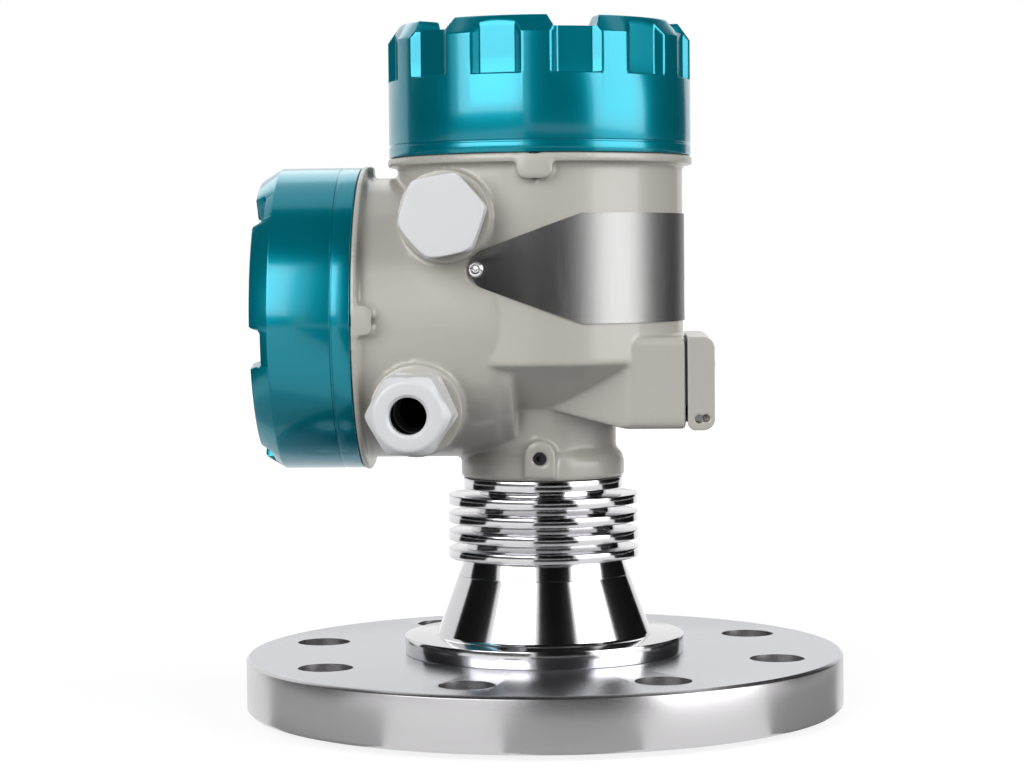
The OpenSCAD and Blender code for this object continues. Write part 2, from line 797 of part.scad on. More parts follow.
// What is cut away round one tapering end of the nameplate, seen square on, its tip at -X.
// It starts further out by the given growth.
module plate_end_cut(grow) {
    half = plate_r * sin(plate_taper / 2);
    tip_r = plate_tip_r + grow;
    centre = plate_tip_r - half;
    bend_h = plate_h / 2 + grow;
    away = norm([half - centre, bend_h]);
    tilt = atan2(bend_h, half - centre) - asin(tip_r / away);
    beyond = half + 3;
    beyond_h = bend_h + 3 * tan(tilt);
    translate([0, 0, plate_z]) rotate([90, 0, 0])
        linear_extrude(height = chamber_d) difference() {
            translate([-half - 8, -beyond_h - 2]) square([beyond + half + 8, 2 * beyond_h + 4]);
            polygon(concat(
                [[beyond + 1, beyond_h + tan(tilt)]],
                [for (i = [0 : 16])
                    let (a = 90 + tilt + i * (180 - 2 * tilt) / 16)
                    [centre + tip_r * cos(a), tip_r * sin(a)]],
                [[beyond + 1, -beyond_h - tan(tilt)]]
            ));
        }
}

// A band round the chamber over part of a turn, as high as the nameplate
module plate_band(start, sweep, r_in, t, h) {
    translate([0, 0, plate_z - h / 2]) rotate([0, 0, start - 90])
        rotate_extrude(angle = sweep) translate([r_in, 0]) square([t, h]);
}

// Recess in the side chamber and the plug's boss that the nameplate's near end lies in
module plate_recess() {
    difference() {
        plate_band(plate_near - 2, plate_taper / 2 + 2, plate_r - 0.03, plate_recess_out, plate_h);
        rotate([0, 0, plate_near + plate_taper / 2]) plate_end_cut(plate_room);
    }
}

module nameplate() {
    far = plate_near + plate_sweep;
    spare = 2;
    color(steel)
    difference() {
        plate_band(plate_near - spare, plate_sweep + 2 * spare, plate_r, plate_t, plate_h);
        rotate([0, 0, plate_near + plate_taper / 2]) plate_end_cut(0);
        rotate([0, 0, far - plate_taper / 2]) mirror([1, 0, 0]) plate_end_cut(0);
        plate_screw_holes();
    }
}

module nameplate_screws() {
    color(steel)
    for (a = plate_screw_angles)
        rotate([0, 0, a]) {
            out_of_front(0, plate_r + plate_t + 0.15, plate_z)
                cylinder(d1 = plate_screw_d, d2 = plate_screw_d * 0.6, h = 1.3);
            out_of_front(0, chamber_d / 2 - 2.2, plate_z)
                cylinder(d = plate_screw_d / 2 - 0.2, h = 3.2);
        }
}

module gland_body() {
    color(entry_white)
    out_of_front(-gland_x, entry_face_y, gland_z)
        difference() {
            union() {
                translate([0, 0, -gland_shank])
                    cylinder(r = entry_r - seat_fit, h = gland_shank + 1);
                rotate([0, 0, gland_hex_turn])
                    turned_hex(hex_af, gland_hex_h, 0, 0.8);
                cylinder(r = gland_thread_r, h = gland_hex_h + gland_thread_len);
            }
            translate([0, 0, -gland_shank - 1])
                cylinder(r = gland_pass_r, h = 2 * gland_shank + gland_hex_h);
            translate([0, 0, gland_hex_h - 2])
                cylinder(r = gland_room_r, h = gland_thread_len + 3);
        }
}

module collar_set_screw() {
    tip_y = spigot_r - set_groove + 0.6;
    color(steel)
    out_of_front(0, tip_y, set_screw_z)
        difference() {
            cylinder(d = set_screw_d, h = 6);
            translate([0, 0, 3.5]) cylinder(d = 2.6, h = 4, $fn = 6);
        }
}

module cover_lock_screws() {
    color(steel) {
        translate([0, -lock_r, lip_bottom - lug_h + 0.8]) difference() {
            cylinder(r = lock_screw_r, h = lug_h + lip_t - 1);
            translate([0, 0, -1]) cylinder(d = 1.8, h = 2.8, $fn = 6);
        }
        out_of_side(side_reach - side_lug_h + 0.8) translate([0, -lock_r, 0])
            difference() {
                cylinder(r = lock_screw_r, h = side_lug_h - 1);
                translate([0, 0, -1]) cylinder(d = 1.8, h = 2.8, $fn = 6);
            }
    }
}

module key_gasket() {
    t = key_gap - turn_gap;
    low = key_room_low - 2.5;
    color(rubber_black)
    translate([key_face_x, -key_box_w / 2 + 1.5, key_bottom + low])
        rotate([90, 0, 90]) linear_extrude(height = t) difference() {
            square([key_box_w - 3, key_box_h - low - 1.5]);
            translate([2.5, 2.5]) square([key_box_w - 8, key_box_h - low - 6.5]);
        }
}

module key_hinge_pin() {
    length = key_box_w - 2 * hinge_pin_in;
    color(steel)
    translate([hinge_x, length / 2, hinge_z]) rotate([90, 0, 0])
        cylinder(d = hinge_pin_d, h = length);
}

// ---- Inside the housing ------------------------------------------------------------

// A round slice that is cut off flat on its terminal side
module bay_slice(r, h) {
    intersection() {
        cylinder(r = r, h = h);
        translate([cup_flat_x, -chamber_d, -1]) cube([2 * chamber_d, 2 * chamber_d, h + 2]);
    }
}

module electronics_cup() {
    color(moulded_grey)
    translate([0, 0, ledge_z]) bay_slice(cup_r, shelf_z - ledge_z - 0.3);
}

module radar_module() {
    color(steel)
    translate([0, 0, spigot_top + 1]) cylinder(r = radar_r, h = ledge_z - spigot_top - 1);
}

module display_module() {
    color(moulded_grey)
    translate([0, 0, shelf_z]) difference() {
        cylinder(r = display_r, h = display_t);
        translate([-screen_w / 2, -screen_d / 2, display_t - screen_t - 0.6])
            cube([screen_w, screen_d, screen_t + 1]);
        for (a = [90, 210, 330]) rotate([0, 0, a])
            translate([display_r - board_screw_in, 0, display_t - board_shank - 0.4])
                cylinder(d = small_shank_d + 0.2, h = board_shank + 1);
    }
}

module display_screen() {
    color([0.55, 0.62, 0.50])
    translate([-screen_w / 2 + 0.1, -screen_d / 2 + 0.1, shelf_z + display_t - screen_t - 0.6])
        cube([screen_w - 0.2, screen_d - 0.2, screen_t]);
}

module display_screws() {
    color(steel)
    for (a = [90, 210, 330]) rotate([0, 0, a])
        translate([display_r - board_screw_in, 0, shelf_z + display_t]) {
            difference() {
                cylinder(d = board_screw_d, h = small_head_h);
                translate([0, 0, 1]) cylinder(d = 2.6, h = 1, $fn = 6);
            }
            translate([0, 0, -board_shank])
                cylinder(d = small_shank_d, h = board_shank + 0.4);
        }
}

module terminal_plate() {
    below = side_z - neck_post_top - 1;
    color(steel)
    out_of_side(partition_x) difference() {
        intersection() {
            cylinder(r = side_r - 0.5, h = terminal_plate_t);
            translate([-below, -side_r, 0])
                cube([below + terminal_h / 2 + 4, 2 * side_r, terminal_plate_t]);
        }
        translate([ground_up, ground_y, -1]) cylinder(d = 4.2, h = 5);
    }
}

module terminal_block() {
    way = terminal_w / terminal_ways;
    color(moulded_grey)
    out_of_side(partition_x + terminal_plate_t) difference() {
        translate([-terminal_h / 2, -terminal_w / 2, 0])
            cube([terminal_h, terminal_w, terminal_d]);
        for (i = [0 : terminal_ways - 1])
            translate([0, (i + 0.5) * way - terminal_w / 2, 0]) {
                translate([-terminal_h, -way * 0.38, terminal_d - 4])
                    cube([terminal_h * 0.85, way * 0.76, 5]);
                translate([terminal_h * 0.15, 0, terminal_d - terminal_shank - 0.5])
                    cylinder(d = small_shank_d + 0.2, h = terminal_shank + 1);
            }
    }
}

module terminal_screws() {
    way = terminal_w / terminal_ways;
    color(steel)
    out_of_side(partition_x + terminal_plate_t + terminal_d)
        for (i = [0 : terminal_ways - 1])
            translate([terminal_h * 0.15, (i + 0.5) * way - terminal_w / 2, 0]) {
                difference() {
                    cylinder(d = terminal_screw_d, h = small_head_h);
                    translate([-4, -0.5, 1]) cube([8, 1, 1]);
                }
                translate([0, 0, -terminal_shank])
                    cylinder(d = small_shank_d, h = terminal_shank + 0.4);
            }
}

module ground_screw() {
    color("gold")
    out_of_side(partition_x + terminal_plate_t)
        translate([ground_up, ground_y, 0]) {
            difference() {
                cylinder(d = 8, h = 3);
                translate([-5, -0.6, 2]) cube([10, 1.2, 2]);
            }
            translate([0, 0, -terminal_plate_t]) cylinder(d = 4, h = 3);
        }
}

module cable_feedthrough() {
    length = partition_t + 5;
    color(rubber_black)
    out_of_side(partition_x - partition_t + turn_gap) translate([feed_up, feed_y, 0]) {
        cylinder(r = feed_r, h = length);
        translate([0, 0, partition_t - turn_gap]) cylinder(r = feed_r + 1.5, h = 1.5);
    }
}

// ---- Covers ------------------------------------------------------------------------

// Flat seal in the groove of a cover's bottom face
module cover_seal() {
    plain_ring(seal_in_r + seal_w, seal_in_r, seal_h);
}

// Groove that takes a cover's seal
module cover_seal_groove() {
    translate([0, 0, -1])
        plain_ring(seal_in_r + seal_w + 0.1, seal_in_r - 0.1, seal_h + 1.1);
}

module top_cover_seal() {
    color(rubber_black) translate([0, 0, top_seat]) cover_seal();
}

// A pocket of the top cover, seen in plan, out along +X
module pocket_outline() {
    mouth = sqrt(pow(cover_d / 2, 2) - pow(pocket_w / 2, 2));
    floor_r = cover_d / 2 - pocket_depth;
    spread = (pocket_w - pocket_floor_w) / 2 / (mouth - floor_r);
    reach = 4;
    polygon([
        [floor_r, -pocket_floor_w / 2],
        [mouth + reach, -pocket_w / 2 - reach * spread],
        [mouth + reach, pocket_w / 2 + reach * spread],
        [floor_r, pocket_floor_w / 2]
    ]);
}

// A notch through a rim along +X, its floor below the rim's top at z = 0
module rim_notch(floor_w, mouth_w) {
    spread = (mouth_w - floor_w) / 2 / notch_h;
    translate([rim_r - 4, 0, 0]) rotate([90, 0, 90]) linear_extrude(height = cover_d / 2)
        polygon([
            [-floor_w / 2, -notch_h], [floor_w / 2, -notch_h],
            [mouth_w / 2 + spread, 1], [-mouth_w / 2 - spread, 1]
        ]);
}

module top_cover() {
    r = cover_d / 2;
    step = 360 / pocket_count;
    bead_low = 3.3;
    bead_in = 0.25;
    color(paint_teal)
    translate([0, 0, top_seat]) difference() {
        rotate_extrude() polygon([
            [cover_bore_r, 0], [r - 0.4, 0], [r, 0.4], [r, bead_low],
            [r - bead_in, bead_low + 0.2], [r - bead_in, bead_low + 0.8],
            [r, bead_low + 1],
            [r, top_cover_h - crown_chamfer_h], [r - chamfer_in, top_cover_h],
            [rim_r, top_cover_h], [rim_r, top_cover_h - sunk_h],
            [view_d / 2, top_cover_h - sunk_h],
            [view_d / 2, glass_top + glass_gasket_t - top_seat],
            [glass_d / 2 + 0.2, glass_top + glass_gasket_t - top_seat],
            [glass_d / 2 + 0.2, glass_bottom - top_seat],
            [glass_ring_r, glass_bottom - top_seat],
            [glass_ring_r, glass_ring_bottom - top_seat - 1],
            [room_r, glass_ring_bottom - top_seat - 3], [room_r, thread_h + 2],
            [cover_bore_r, thread_h + 0.5]
        ]);
        cover_seal_groove();
        for (i = [0 : pocket_count - 1]) rotate([0, 0, pocket_turn - 90 + i * step]) {
            translate([0, 0, top_cover_h - pocket_h])
                linear_extrude(height = pocket_h + 1) pocket_outline();
            if (i % 2 == 0)
                translate([0, 0, top_cover_h]) rim_notch(pocket_w - 3, pocket_w);
        }
    }
}

module top_window() {
    color([0.80, 0.88, 0.90, 0.4])
    translate([0, 0, glass_bottom]) cylinder(d = glass_d, h = glass_t);
}

module window_gasket() {
    color(rubber_black)
    translate([0, 0, glass_top]) plain_ring(glass_d / 2, view_d / 2 + 0.5, glass_gasket_t);
}

module window_ring() {
    r = glass_ring_r - seat_fit;
    color(moulded_grey)
    translate([0, 0, glass_ring_bottom]) difference() {
        plain_ring(r, r - glass_ring_w, glass_ring_h);
        for (a = [0, 180]) rotate([0, 0, a])
            translate([r - glass_ring_w - 1, -2, -1]) cube([4, 4, 3]);
    }
}

module side_cover_seal() {
    color(rubber_black) out_of_side(side_seat) cover_seal();
}

module side_cover() {
    r = cover_d / 2;
    step = 360 / side_notch_count;
    bead_low = 5.8;
    bead_in = 0.25;
    color(paint_teal)
    out_of_side(side_seat) difference() {
        rotate_extrude() polygon([
            [cover_bore_r, 0], [r - 0.4, 0], [r, 0.4], [r, bead_low],
            [r - bead_in, bead_low + 0.2], [r - bead_in, bead_low + 0.8],
            [r, bead_low + 1],
            [r, side_cover_h - end_chamfer_h], [r - chamfer_in, side_cover_h],
            [rim_r, side_cover_h], [rim_r, side_cover_h - sunk_h],
            [0, side_cover_h - sunk_h], [0, side_cover_h - sunk_h - end_wall],
            [room_r, side_cover_h - sunk_h - end_wall], [room_r, thread_h + 2],
            [cover_bore_r, thread_h + 0.5]
        ]);
        cover_seal_groove();
        for (i = [0 : side_notch_count - 1])
            rotate([0, 0, side_notch_turn - 90 + i * step])
                translate([0, 0, side_cover_h]) rim_notch(side_notch_w, side_notch_w + 2);
    }
}

// ---- Cable entries -----------------------------------------------------------------

module gland_insert() {
    color(rubber_black)
    out_of_front(-gland_x, entry_face_y + gland_hex_h - 1.5, gland_z)
        plain_ring(gland_room_r - 0.3, cable_d / 2 + 0.9,
                   gland_nut_h + turn_gap + 1.5 - gland_floor - turn_gap);
}

module gland_nut() {
    color(entry_white)
    out_of_front(-gland_x, entry_face_y + gland_hex_h + turn_gap, gland_z)
        difference() {
            rotate([0, 0, gland_hex_turn]) turned_hex(hex_af, gland_nut_h, 0, 3.2);
            translate([0, 0, -1])
                cylinder(r = gland_thread_r + 0.3, h = gland_nut_h - gland_floor + 1);
            cylinder(d = cable_d, h = gland_nut_h + 1);
        }
}

module plug_gasket() {
    color(rubber_black)
    out_of_front(-plug_x, entry_face_y, plug_z)
        plain_ring(hex_af / 2 - 0.5, entry_r + 0.3, plug_gasket_t);
}

module blanking_plug() {
    head = entry_face_y + plug_gasket_t + turn_gap;
    color(entry_white)
    out_of_front(-plug_x, head, plug_z) {
        rotate([0, 0, plug_hex_turn]) turned_hex(hex_af, plug_head_h, 0.6, 2.6);
        translate([0, 0, -plug_shank]) cylinder(r = entry_r - 0.08, h = plug_shank + 1);
    }
}

// ---- Local keys --------------------------------------------------------------------

module key_cover() {
    half = key_box_w / 2;
    t = key_cover_t;
    h = key_box_h + 0.5;
    r = key_cover_round;
    drop = 0.4;
    foot = hinge_up + drop;
    color(paint_grey)
    difference() {
        translate([key_back, half, key_bottom - drop]) rotate([90, 0, 0])
            linear_extrude(height = key_box_w) {
                translate([0, foot]) square([t - r, h - foot]);
                translate([hinge_out - key_gap, 0]) square([t - r - hinge_out + key_gap, h]);
                translate([0, r]) square([t, h - 2 * r]);
                for (z = [r, h - r]) translate([t - r, z]) circle(r = r);
                intersection() {
                    translate([hinge_out - key_gap, foot]) circle(r = hinge_round);
                    square([hinge_out, foot]);
                }
            }
        difference() {
            translate([key_back - 1, -half + 4.5, key_bottom + key_room_low])
                cube([key_room + 1, key_box_w - 9, key_room_h]);
            out_of_key_side(key_back, 0, key_screw_z)
                cylinder(d = key_pillar_d, h = key_cover_t);
        }
        translate([hinge_x, key_box_w, hinge_z]) rotate([90, 0, 0])
            cylinder(r = hinge_hole_r, h = 2 * key_box_w);
        out_of_front(hinge_x + end_hole_out, half - end_hole_h, hinge_z + 0.2)
            cylinder(d = end_hole_d, h = end_hole_h + 1);
        for (s = [-1, 1])
            translate([0, s * ear_y + ear_w / 2 + ear_gap, 0]) rotate([90, 0, 0]) {
                translate([hinge_x, hinge_z, 0])
                    cylinder(r = ear_r + ear_gap, h = ear_w + 2 * ear_gap);
                translate([hinge_x - 10, hinge_z - 10, 0])
                    cube([10, 10 + ear_r + ear_gap, ear_w + 2 * ear_gap]);
                translate([hinge_x - 10, hinge_z - 10, 0])
                    cube([10 + ear_r + ear_gap, 10, ear_w + 2 * ear_gap]);
            }
        out_of_key_side(key_back - 1, 0, key_screw_z)
            cylinder(d = key_screw_d + 0.1, h = t + 2);
    }
}

module key_cover_screw() {
    head_d = key_screw_d + 1.6;
    head_h = 1;
    slot_w = 0.8;
    color(steel)
    out_of_key_side(key_out, 0, key_screw_z) {
        difference() {
            cylinder(d = head_d, h = head_h);
            translate([-head_d, -slot_w / 2, head_h / 2])
                cube([2 * head_d, slot_w, head_h]);
        }
        translate([0, 0, -key_cover_t]) cylinder(d = key_screw_d, h = key_cover_t + 0.4);
    }
}

// One key: a round head on a stem that runs in through the housing wall
module one_key(place) {
    color(moulded_grey)
    out_of_key_side(key_head_x, place * key_pitch, key_z) {
        cylinder(d = key_d, h = key_head_t - 0.5);
        translate([0, 0, key_head_t - 0.5 - eps])
            cylinder(d1 = key_d, d2 = key_d - 1, h = 0.5 + eps);
        translate([0, 0, -key_stem_in]) cylinder(d = key_stem_d, h = key_stem_in + 1);
    }
}

module escape_key() { one_key(key_places[0]); }
module minus_key() { one_key(key_places[1]); }
module plus_key() { one_key(key_places[2]); }
module enter_key() { one_key(key_places[3]); }

process_flange();
antenna_hub();
lens_antenna();
lens_seal();
cooling_neck();
waveguide_tube();
neck_seal();
retaining_ring();
housing();
nameplate();
nameplate_screws();
gland_body();
collar_set_screw();
cover_lock_screws();
key_gasket();
key_hinge_pin();
electronics_cup();
radar_module();
display_module();
display_screen();
display_screws();
terminal_plate();
terminal_block();
terminal_screws();
ground_screw();
cable_feedthrough();
top_cover_seal();
top_cover();
top_window();
window_gasket();
window_ring();
side_cover_seal();
side_cover();
gland_insert();
gland_nut();
plug_gasket();
blanking_plug();
key_cover();
key_cover_screw();
escape_key();
minus_key();
plus_key();
enter_key();
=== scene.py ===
import json
import math

import bpy
from mathutils import Matrix, Vector


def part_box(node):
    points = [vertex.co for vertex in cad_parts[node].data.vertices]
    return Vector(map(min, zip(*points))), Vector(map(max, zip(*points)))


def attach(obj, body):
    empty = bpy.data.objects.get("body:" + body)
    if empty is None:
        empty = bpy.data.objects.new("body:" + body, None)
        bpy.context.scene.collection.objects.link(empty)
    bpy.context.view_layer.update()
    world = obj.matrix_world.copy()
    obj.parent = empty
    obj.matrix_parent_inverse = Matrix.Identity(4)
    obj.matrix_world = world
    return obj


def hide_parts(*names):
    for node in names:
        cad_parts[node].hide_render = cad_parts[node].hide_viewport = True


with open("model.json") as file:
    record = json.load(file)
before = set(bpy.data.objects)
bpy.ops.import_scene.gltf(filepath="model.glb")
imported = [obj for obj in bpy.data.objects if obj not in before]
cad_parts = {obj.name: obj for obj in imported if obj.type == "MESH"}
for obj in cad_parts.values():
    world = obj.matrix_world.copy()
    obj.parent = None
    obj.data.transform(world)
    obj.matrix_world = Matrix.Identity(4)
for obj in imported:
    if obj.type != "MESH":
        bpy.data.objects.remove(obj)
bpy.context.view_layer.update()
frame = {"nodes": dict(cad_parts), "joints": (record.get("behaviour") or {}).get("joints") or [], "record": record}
MM = 0.001

# ---- Process flange ------------------------------------------------------------------
# A stainless plate, faced and bored in a lathe, with a raised sealing face below and eight
# bolt holes. The tool marks run round it. Its flat faces, the upper one among them, take a
# darker copy of the rim's steel: painted shade, not a different metal.


def deselect():
    bpy.ops.object.select_all(action="DESELECT")


def work_on(part):
    """Makes the part the only one that the next operators act on."""
    deselect()
    bpy.context.view_layer.objects.active = part
    part.select_set(True)


def corners_of(node):
    """Lowest and highest corner of a frame node in mm."""
    return [Vector([round(c / MM, 3) for c in corner]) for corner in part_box(node)]


def filleted(points, steps=4):
    """Rounds the corners of a turned profile. A point is (radius, height, fillet) in mm."""
    rings = []
    last = len(points) - 1
    for i, (r, z, fillet) in enumerate(points):
        if fillet == 0 or i in (0, last):
            rings.append((r, z))
            continue
        here = Vector((r, z))
        back = (Vector(points[i - 1][:2]) - here).normalized()
        ahead = (Vector(points[i + 1][:2]) - here).normalized()
        half = back.angle(ahead) / 2
        reach = fillet / math.tan(half)
        centre = here + (back + ahead).normalized() * fillet / math.sin(half)
        start = here + back * reach - centre
        end = here + ahead * reach - centre
        for step in range(steps + 1):
            rings.append(tuple(centre + start.slerp(end, step / steps) * fillet))
    return rings


def turned(name, rings, steps):
    """Grows a profile of (radius, height) rings in mm, ring by ring, round the Z axis."""
    deselect()
    r, z = rings[0]
    bpy.ops.mesh.primitive_circle_add(vertices=steps, radius=r * MM, location=(0, 0, z * MM))
    part = bpy.context.object
    part.name = part.data.name = name
    bpy.ops.object.transform_apply(location=True, rotation=True, scale=True)
    bpy.ops.object.mode_set(mode="EDIT")
    bpy.ops.mesh.select_all(action="SELECT")
    for r_next, z_next in rings[1:]:
        rise = (0, 0, (z_next - z) * MM)
        bpy.ops.mesh.extrude_region_move(TRANSFORM_OT_translate={"value": rise})
        growth = r_next / r
        bpy.ops.transform.resize(value=(growth, growth, 1), center_override=(0, 0, 0))
        r, z = r_next, z_next
    bpy.ops.mesh.select_all(action="SELECT")
    bpy.ops.mesh.remove_doubles(threshold=0.00001)
    bpy.ops.mesh.fill_holes(sides=0)
    bpy.ops.mesh.select_all(action="SELECT")
    bpy.ops.mesh.normals_make_consistent(inside=False)
    bpy.ops.object.mode_set(mode="OBJECT")
    return part


def apply_new(part, kind, **settings):
    """Adds one modifier with its settings to the part, and applies it."""
    work_on(part)
    tool = part.modifiers.new(kind.lower(), kind)
    for key, value in settings.items():
        setattr(tool, key, value)
    bpy.ops.object.modifier_apply(modifier=tool.name)


def cut_away(part, cutter):
    """Takes the cutter's volume out of the part, and deletes the cutter."""
    apply_new(part, "BOOLEAN", operation="DIFFERENCE", solver="EXACT", object=cutter)
    bpy.data.objects.remove(cutter)


def place(part, turn=(0, 0, 0), at=(0, 0, 0)):
    """Turns a part in degrees, then moves it in mm, and keeps both in its mesh."""
    work_on(part)
    part.rotation_euler = [math.radians(a) for a in turn]
    part.location = [c * MM for c in at]
    bpy.ops.object.transform_apply(location=True, rotation=True, scale=True)


def smooth(part, degrees=30):
    work_on(part)
    bpy.ops.object.shade_smooth_by_angle(angle=math.radians(degrees))


def finish_piece(part, material, body, node):
    """Gives a piece its material, its body and the node it stands for."""
    part.data.materials.clear()
    part.data.materials.append(material)
    smooth(part)
    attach(part, body)
    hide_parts(node)


def new_material(name):
    material = bpy.data.materials.new(name)
    material.use_nodes = True
    shader = material.node_tree.nodes["Principled BSDF"]
    return material, material.node_tree, shader


def object_place(tree):
    return tree.nodes.new("ShaderNodeTexCoord").outputs["Object"]


def link_noise(tree, source, scale, detail=2.0, rough=0.5):
    noise = tree.nodes.new("ShaderNodeTexNoise")
    noise.inputs["Scale"].default_value = scale
    noise.inputs["Detail"].default_value = detail
    noise.inputs["Roughness"].default_value = rough
    tree.links.new(source, noise.inputs["Vector"])
    return noise.outputs["Fac"]


def spread(tree, value, low, high):
    """Maps a 0 to 1 value to the range low to high."""
    remap = tree.nodes.new("ShaderNodeMapRange")
    remap.inputs["To Min"].default_value = low
    remap.inputs["To Max"].default_value = high
    tree.links.new(value, remap.inputs["Value"])
    return remap.outputs["Result"]


def raise_bump(tree, shader, height, distance, strength=1.0):
    bump = tree.nodes.new("ShaderNodeBump")
    bump.inputs["Distance"].default_value = distance
    bump.inputs["Strength"].default_value = strength
    tree.links.new(height, bump.inputs["Height"])
    tree.links.new(bump.outputs["Normal"], shader.inputs["Normal"])


def length_of(tree, vector):
    length = tree.nodes.new("ShaderNodeVectorMath")
    length.operation = "LENGTH"
    tree.links.new(vector, length.inputs[0])
    return length.outputs["Value"]


def lathe_coordinates(tree):
    """Coordinates that stay the same all round the Z axis: radius and height."""
    split = tree.nodes.new("ShaderNodeSeparateXYZ")
    tree.links.new(object_place(tree), split.inputs["Vector"])
    flat = tree.nodes.new("ShaderNodeCombineXYZ")
    tree.links.new(split.outputs["X"], flat.inputs["X"])
    tree.links.new(split.outputs["Y"], flat.inputs["Y"])
    joined = tree.nodes.new("ShaderNodeCombineXYZ")
    tree.links.new(length_of(tree, flat.outputs["Vector"]), joined.inputs["X"])
    tree.links.new(split.outputs["Z"], joined.inputs["Z"])
    return joined.outputs["Vector"]


def turned_steel(name, roughness, colour=(0.6, 0.595, 0.61)):
    """Stainless steel off the lathe: fine rings of tool marks and faint grease clouds."""
    material, tree, shader = new_material(name)
    shader.inputs["Base Color"].default_value = (*colour, 1)
    shader.inputs["Metallic"].default_value = 1.0
    marks = link_noise(tree, lathe_coordinates(tree), 2600, 4.0, 0.6)
    clouds = link_noise(tree, object_place(tree), 28, 3.0)
    tree.links.new(spread(tree, clouds, roughness - 0.03, roughness + 0.03),
                   shader.inputs["Roughness"])
    raise_bump(tree, shader, marks, 0.00001, 0.4)
    return material


rim_steel = turned_steel("turned rim", 0.24, (0.57, 0.56, 0.57))
# A darker, slightly bluer copy of the same steel for the flange's flat faces: painted shade.
flat_face_painted_shade = turned_steel("steel with painted shade for flat faces", 0.26, (0.425, 0.43, 0.465))

_, flange_high = corners_of("process_flange")
FLANGE_R = flange_high.x
FLANGE_TOP = flange_high.z
FLANGE_CHAMFER = 1
SEALING_FACE_R = 69
SEALING_FACE_H = 2
LENS_SEAT_R = 38
LENS_SEAT_TOP = 12
HUB_BORE_R = 36.2
flange = turned("flange_plate", filleted([
    (HUB_BORE_R, FLANGE_TOP, 0), (FLANGE_R - FLANGE_CHAMFER, FLANGE_TOP, 0.15),
    (FLANGE_R, FLANGE_TOP - FLANGE_CHAMFER, 0.15),
    (FLANGE_R, SEALING_FACE_H + FLANGE_CHAMFER, 0.3),
    (FLANGE_R - FLANGE_CHAMFER, SEALING_FACE_H, 0.3), (SEALING_FACE_R, SEALING_FACE_H, 0.2),
    (SEALING_FACE_R, 0, 0.3), (LENS_SEAT_R, 0, 0.3), (LENS_SEAT_R, LENS_SEAT_TOP, 0),
    (HUB_BORE_R, LENS_SEAT_TOP, 0), (HUB_BORE_R, FLANGE_TOP, 0),
], 2), 360)

bolts = next(mount["dims"] for mount in frame["record"]["mounts"]
             if mount["name"] == "flange_bolts")
BOLT_TURN = -15.5
BURR_BREAK = 0.1
DRILL_FLARE = 1.2
drill_rings = [
    (bolts["hole_r_mm"] + DRILL_FLARE, FLANGE_TOP + DRILL_FLARE),
    (bolts["hole_r_mm"], FLANGE_TOP - BURR_BREAK),
    (bolts["hole_r_mm"], SEALING_FACE_H + BURR_BREAK),
    (bolts["hole_r_mm"] + DRILL_FLARE, SEALING_FACE_H - DRILL_FLARE),
]
for hole in range(bolts["count"]):
    angle = math.radians(BOLT_TURN + hole * 360 / bolts["count"])
    drill = turned("drill", drill_rings, 96)
    place(drill, at=(bolts["pcd_mm"] / 2 * math.cos(angle),
                     bolts["pcd_mm"] / 2 * math.sin(angle), 0))
    cut_away(flange, drill)
finish_piece(flange, rim_steel, "base", "process_flange")
# Faces that point up or down get the darker copy of the steel, which paints shade on them.
flange.data.materials.append(flat_face_painted_shade)
for face in flange.data.polygons:
    if abs(face.normal.z) > 0.9:
        face.material_index = 1

# ---- Antenna hub ---------------------------------------------------------------------
# A polished stainless disc and cone, turned as one piece and welded to the flange's upper
# face. Its inside is the horn, from the mouth above the lens to the throat.

polished_steel = turned_steel("polished steel", 0.11)

_, hub_high = corners_of("antenna_hub")
HUB_TOP = hub_high.z
HUB_DISC_R = hub_high.x
HUB_DISC_TOP = 25.9
HUB_SPIGOT_R = 35.9
HUB_FOOT_R = 35.8
HUB_TOP_R = 28.7
HORN_MOUTH_R = 33
HORN_THROAT_R = 10.5
SEAM = 0.15
hub = turned("hub_cone", filleted([
    (HORN_MOUTH_R, LENS_SEAT_TOP, 0), (HUB_SPIGOT_R, LENS_SEAT_TOP, 0),
    (HUB_SPIGOT_R, FLANGE_TOP, 0), (HUB_DISC_R, FLANGE_TOP, 0.3),
    (HUB_DISC_R, HUB_DISC_TOP, 0.3), (HUB_FOOT_R + 0.6, HUB_DISC_TOP, 0.3),
    (HUB_FOOT_R, HUB_DISC_TOP + 0.8, 0.3), (HUB_TOP_R, HUB_TOP - 0.1, 0.1),
    (HUB_TOP_R - SEAM, HUB_TOP, 0), (HORN_THROAT_R, HUB_TOP, 0),
    (HORN_MOUTH_R, LENS_SEAT_TOP, 0),
], 3), 256)
finish_piece(hub, polished_steel, "base", "antenna_hub")

# ---- Cooling neck --------------------------------------------------------------------
# Turned from one stainless bar and welded to the hub: a foot that carries on the hub's cone,
# four square-edged fins on a tapering core, a stub disc, and the spigot with its groove
# that the housing turns on.

_, neck_high = corners_of("cooling_neck")
FIN_R = neck_high.x
FIN_T = 3.2
FIN_PITCH = 6.0
FIN_COUNT = 4
FIN_LOW = 52.0
FIN_EDGE = 0.3
FOOT_R = 26.8
CORE_LOW_R = 26.2
CORE_HIGH_R = 21.2
STUB_R = 26.8
STUB_LOW = 75.3
STUB_HIGH = 78.8
SPIGOT_R = 21
GROOVE_R = 19.6
GROOVE_LOW = 83.5
GROOVE_HIGH = 89.2
GUIDE_R = 5.1
GUIDE_SEAT = 60
GUIDE_BORE_R = 2.7
core_low = FIN_LOW + FIN_T
core_high = FIN_LOW + (FIN_COUNT - 1) * FIN_PITCH + FIN_T


def core_radius(z):
    return CORE_LOW_R + (CORE_HIGH_R - CORE_LOW_R) * (z - core_low) / (core_high - core_low)


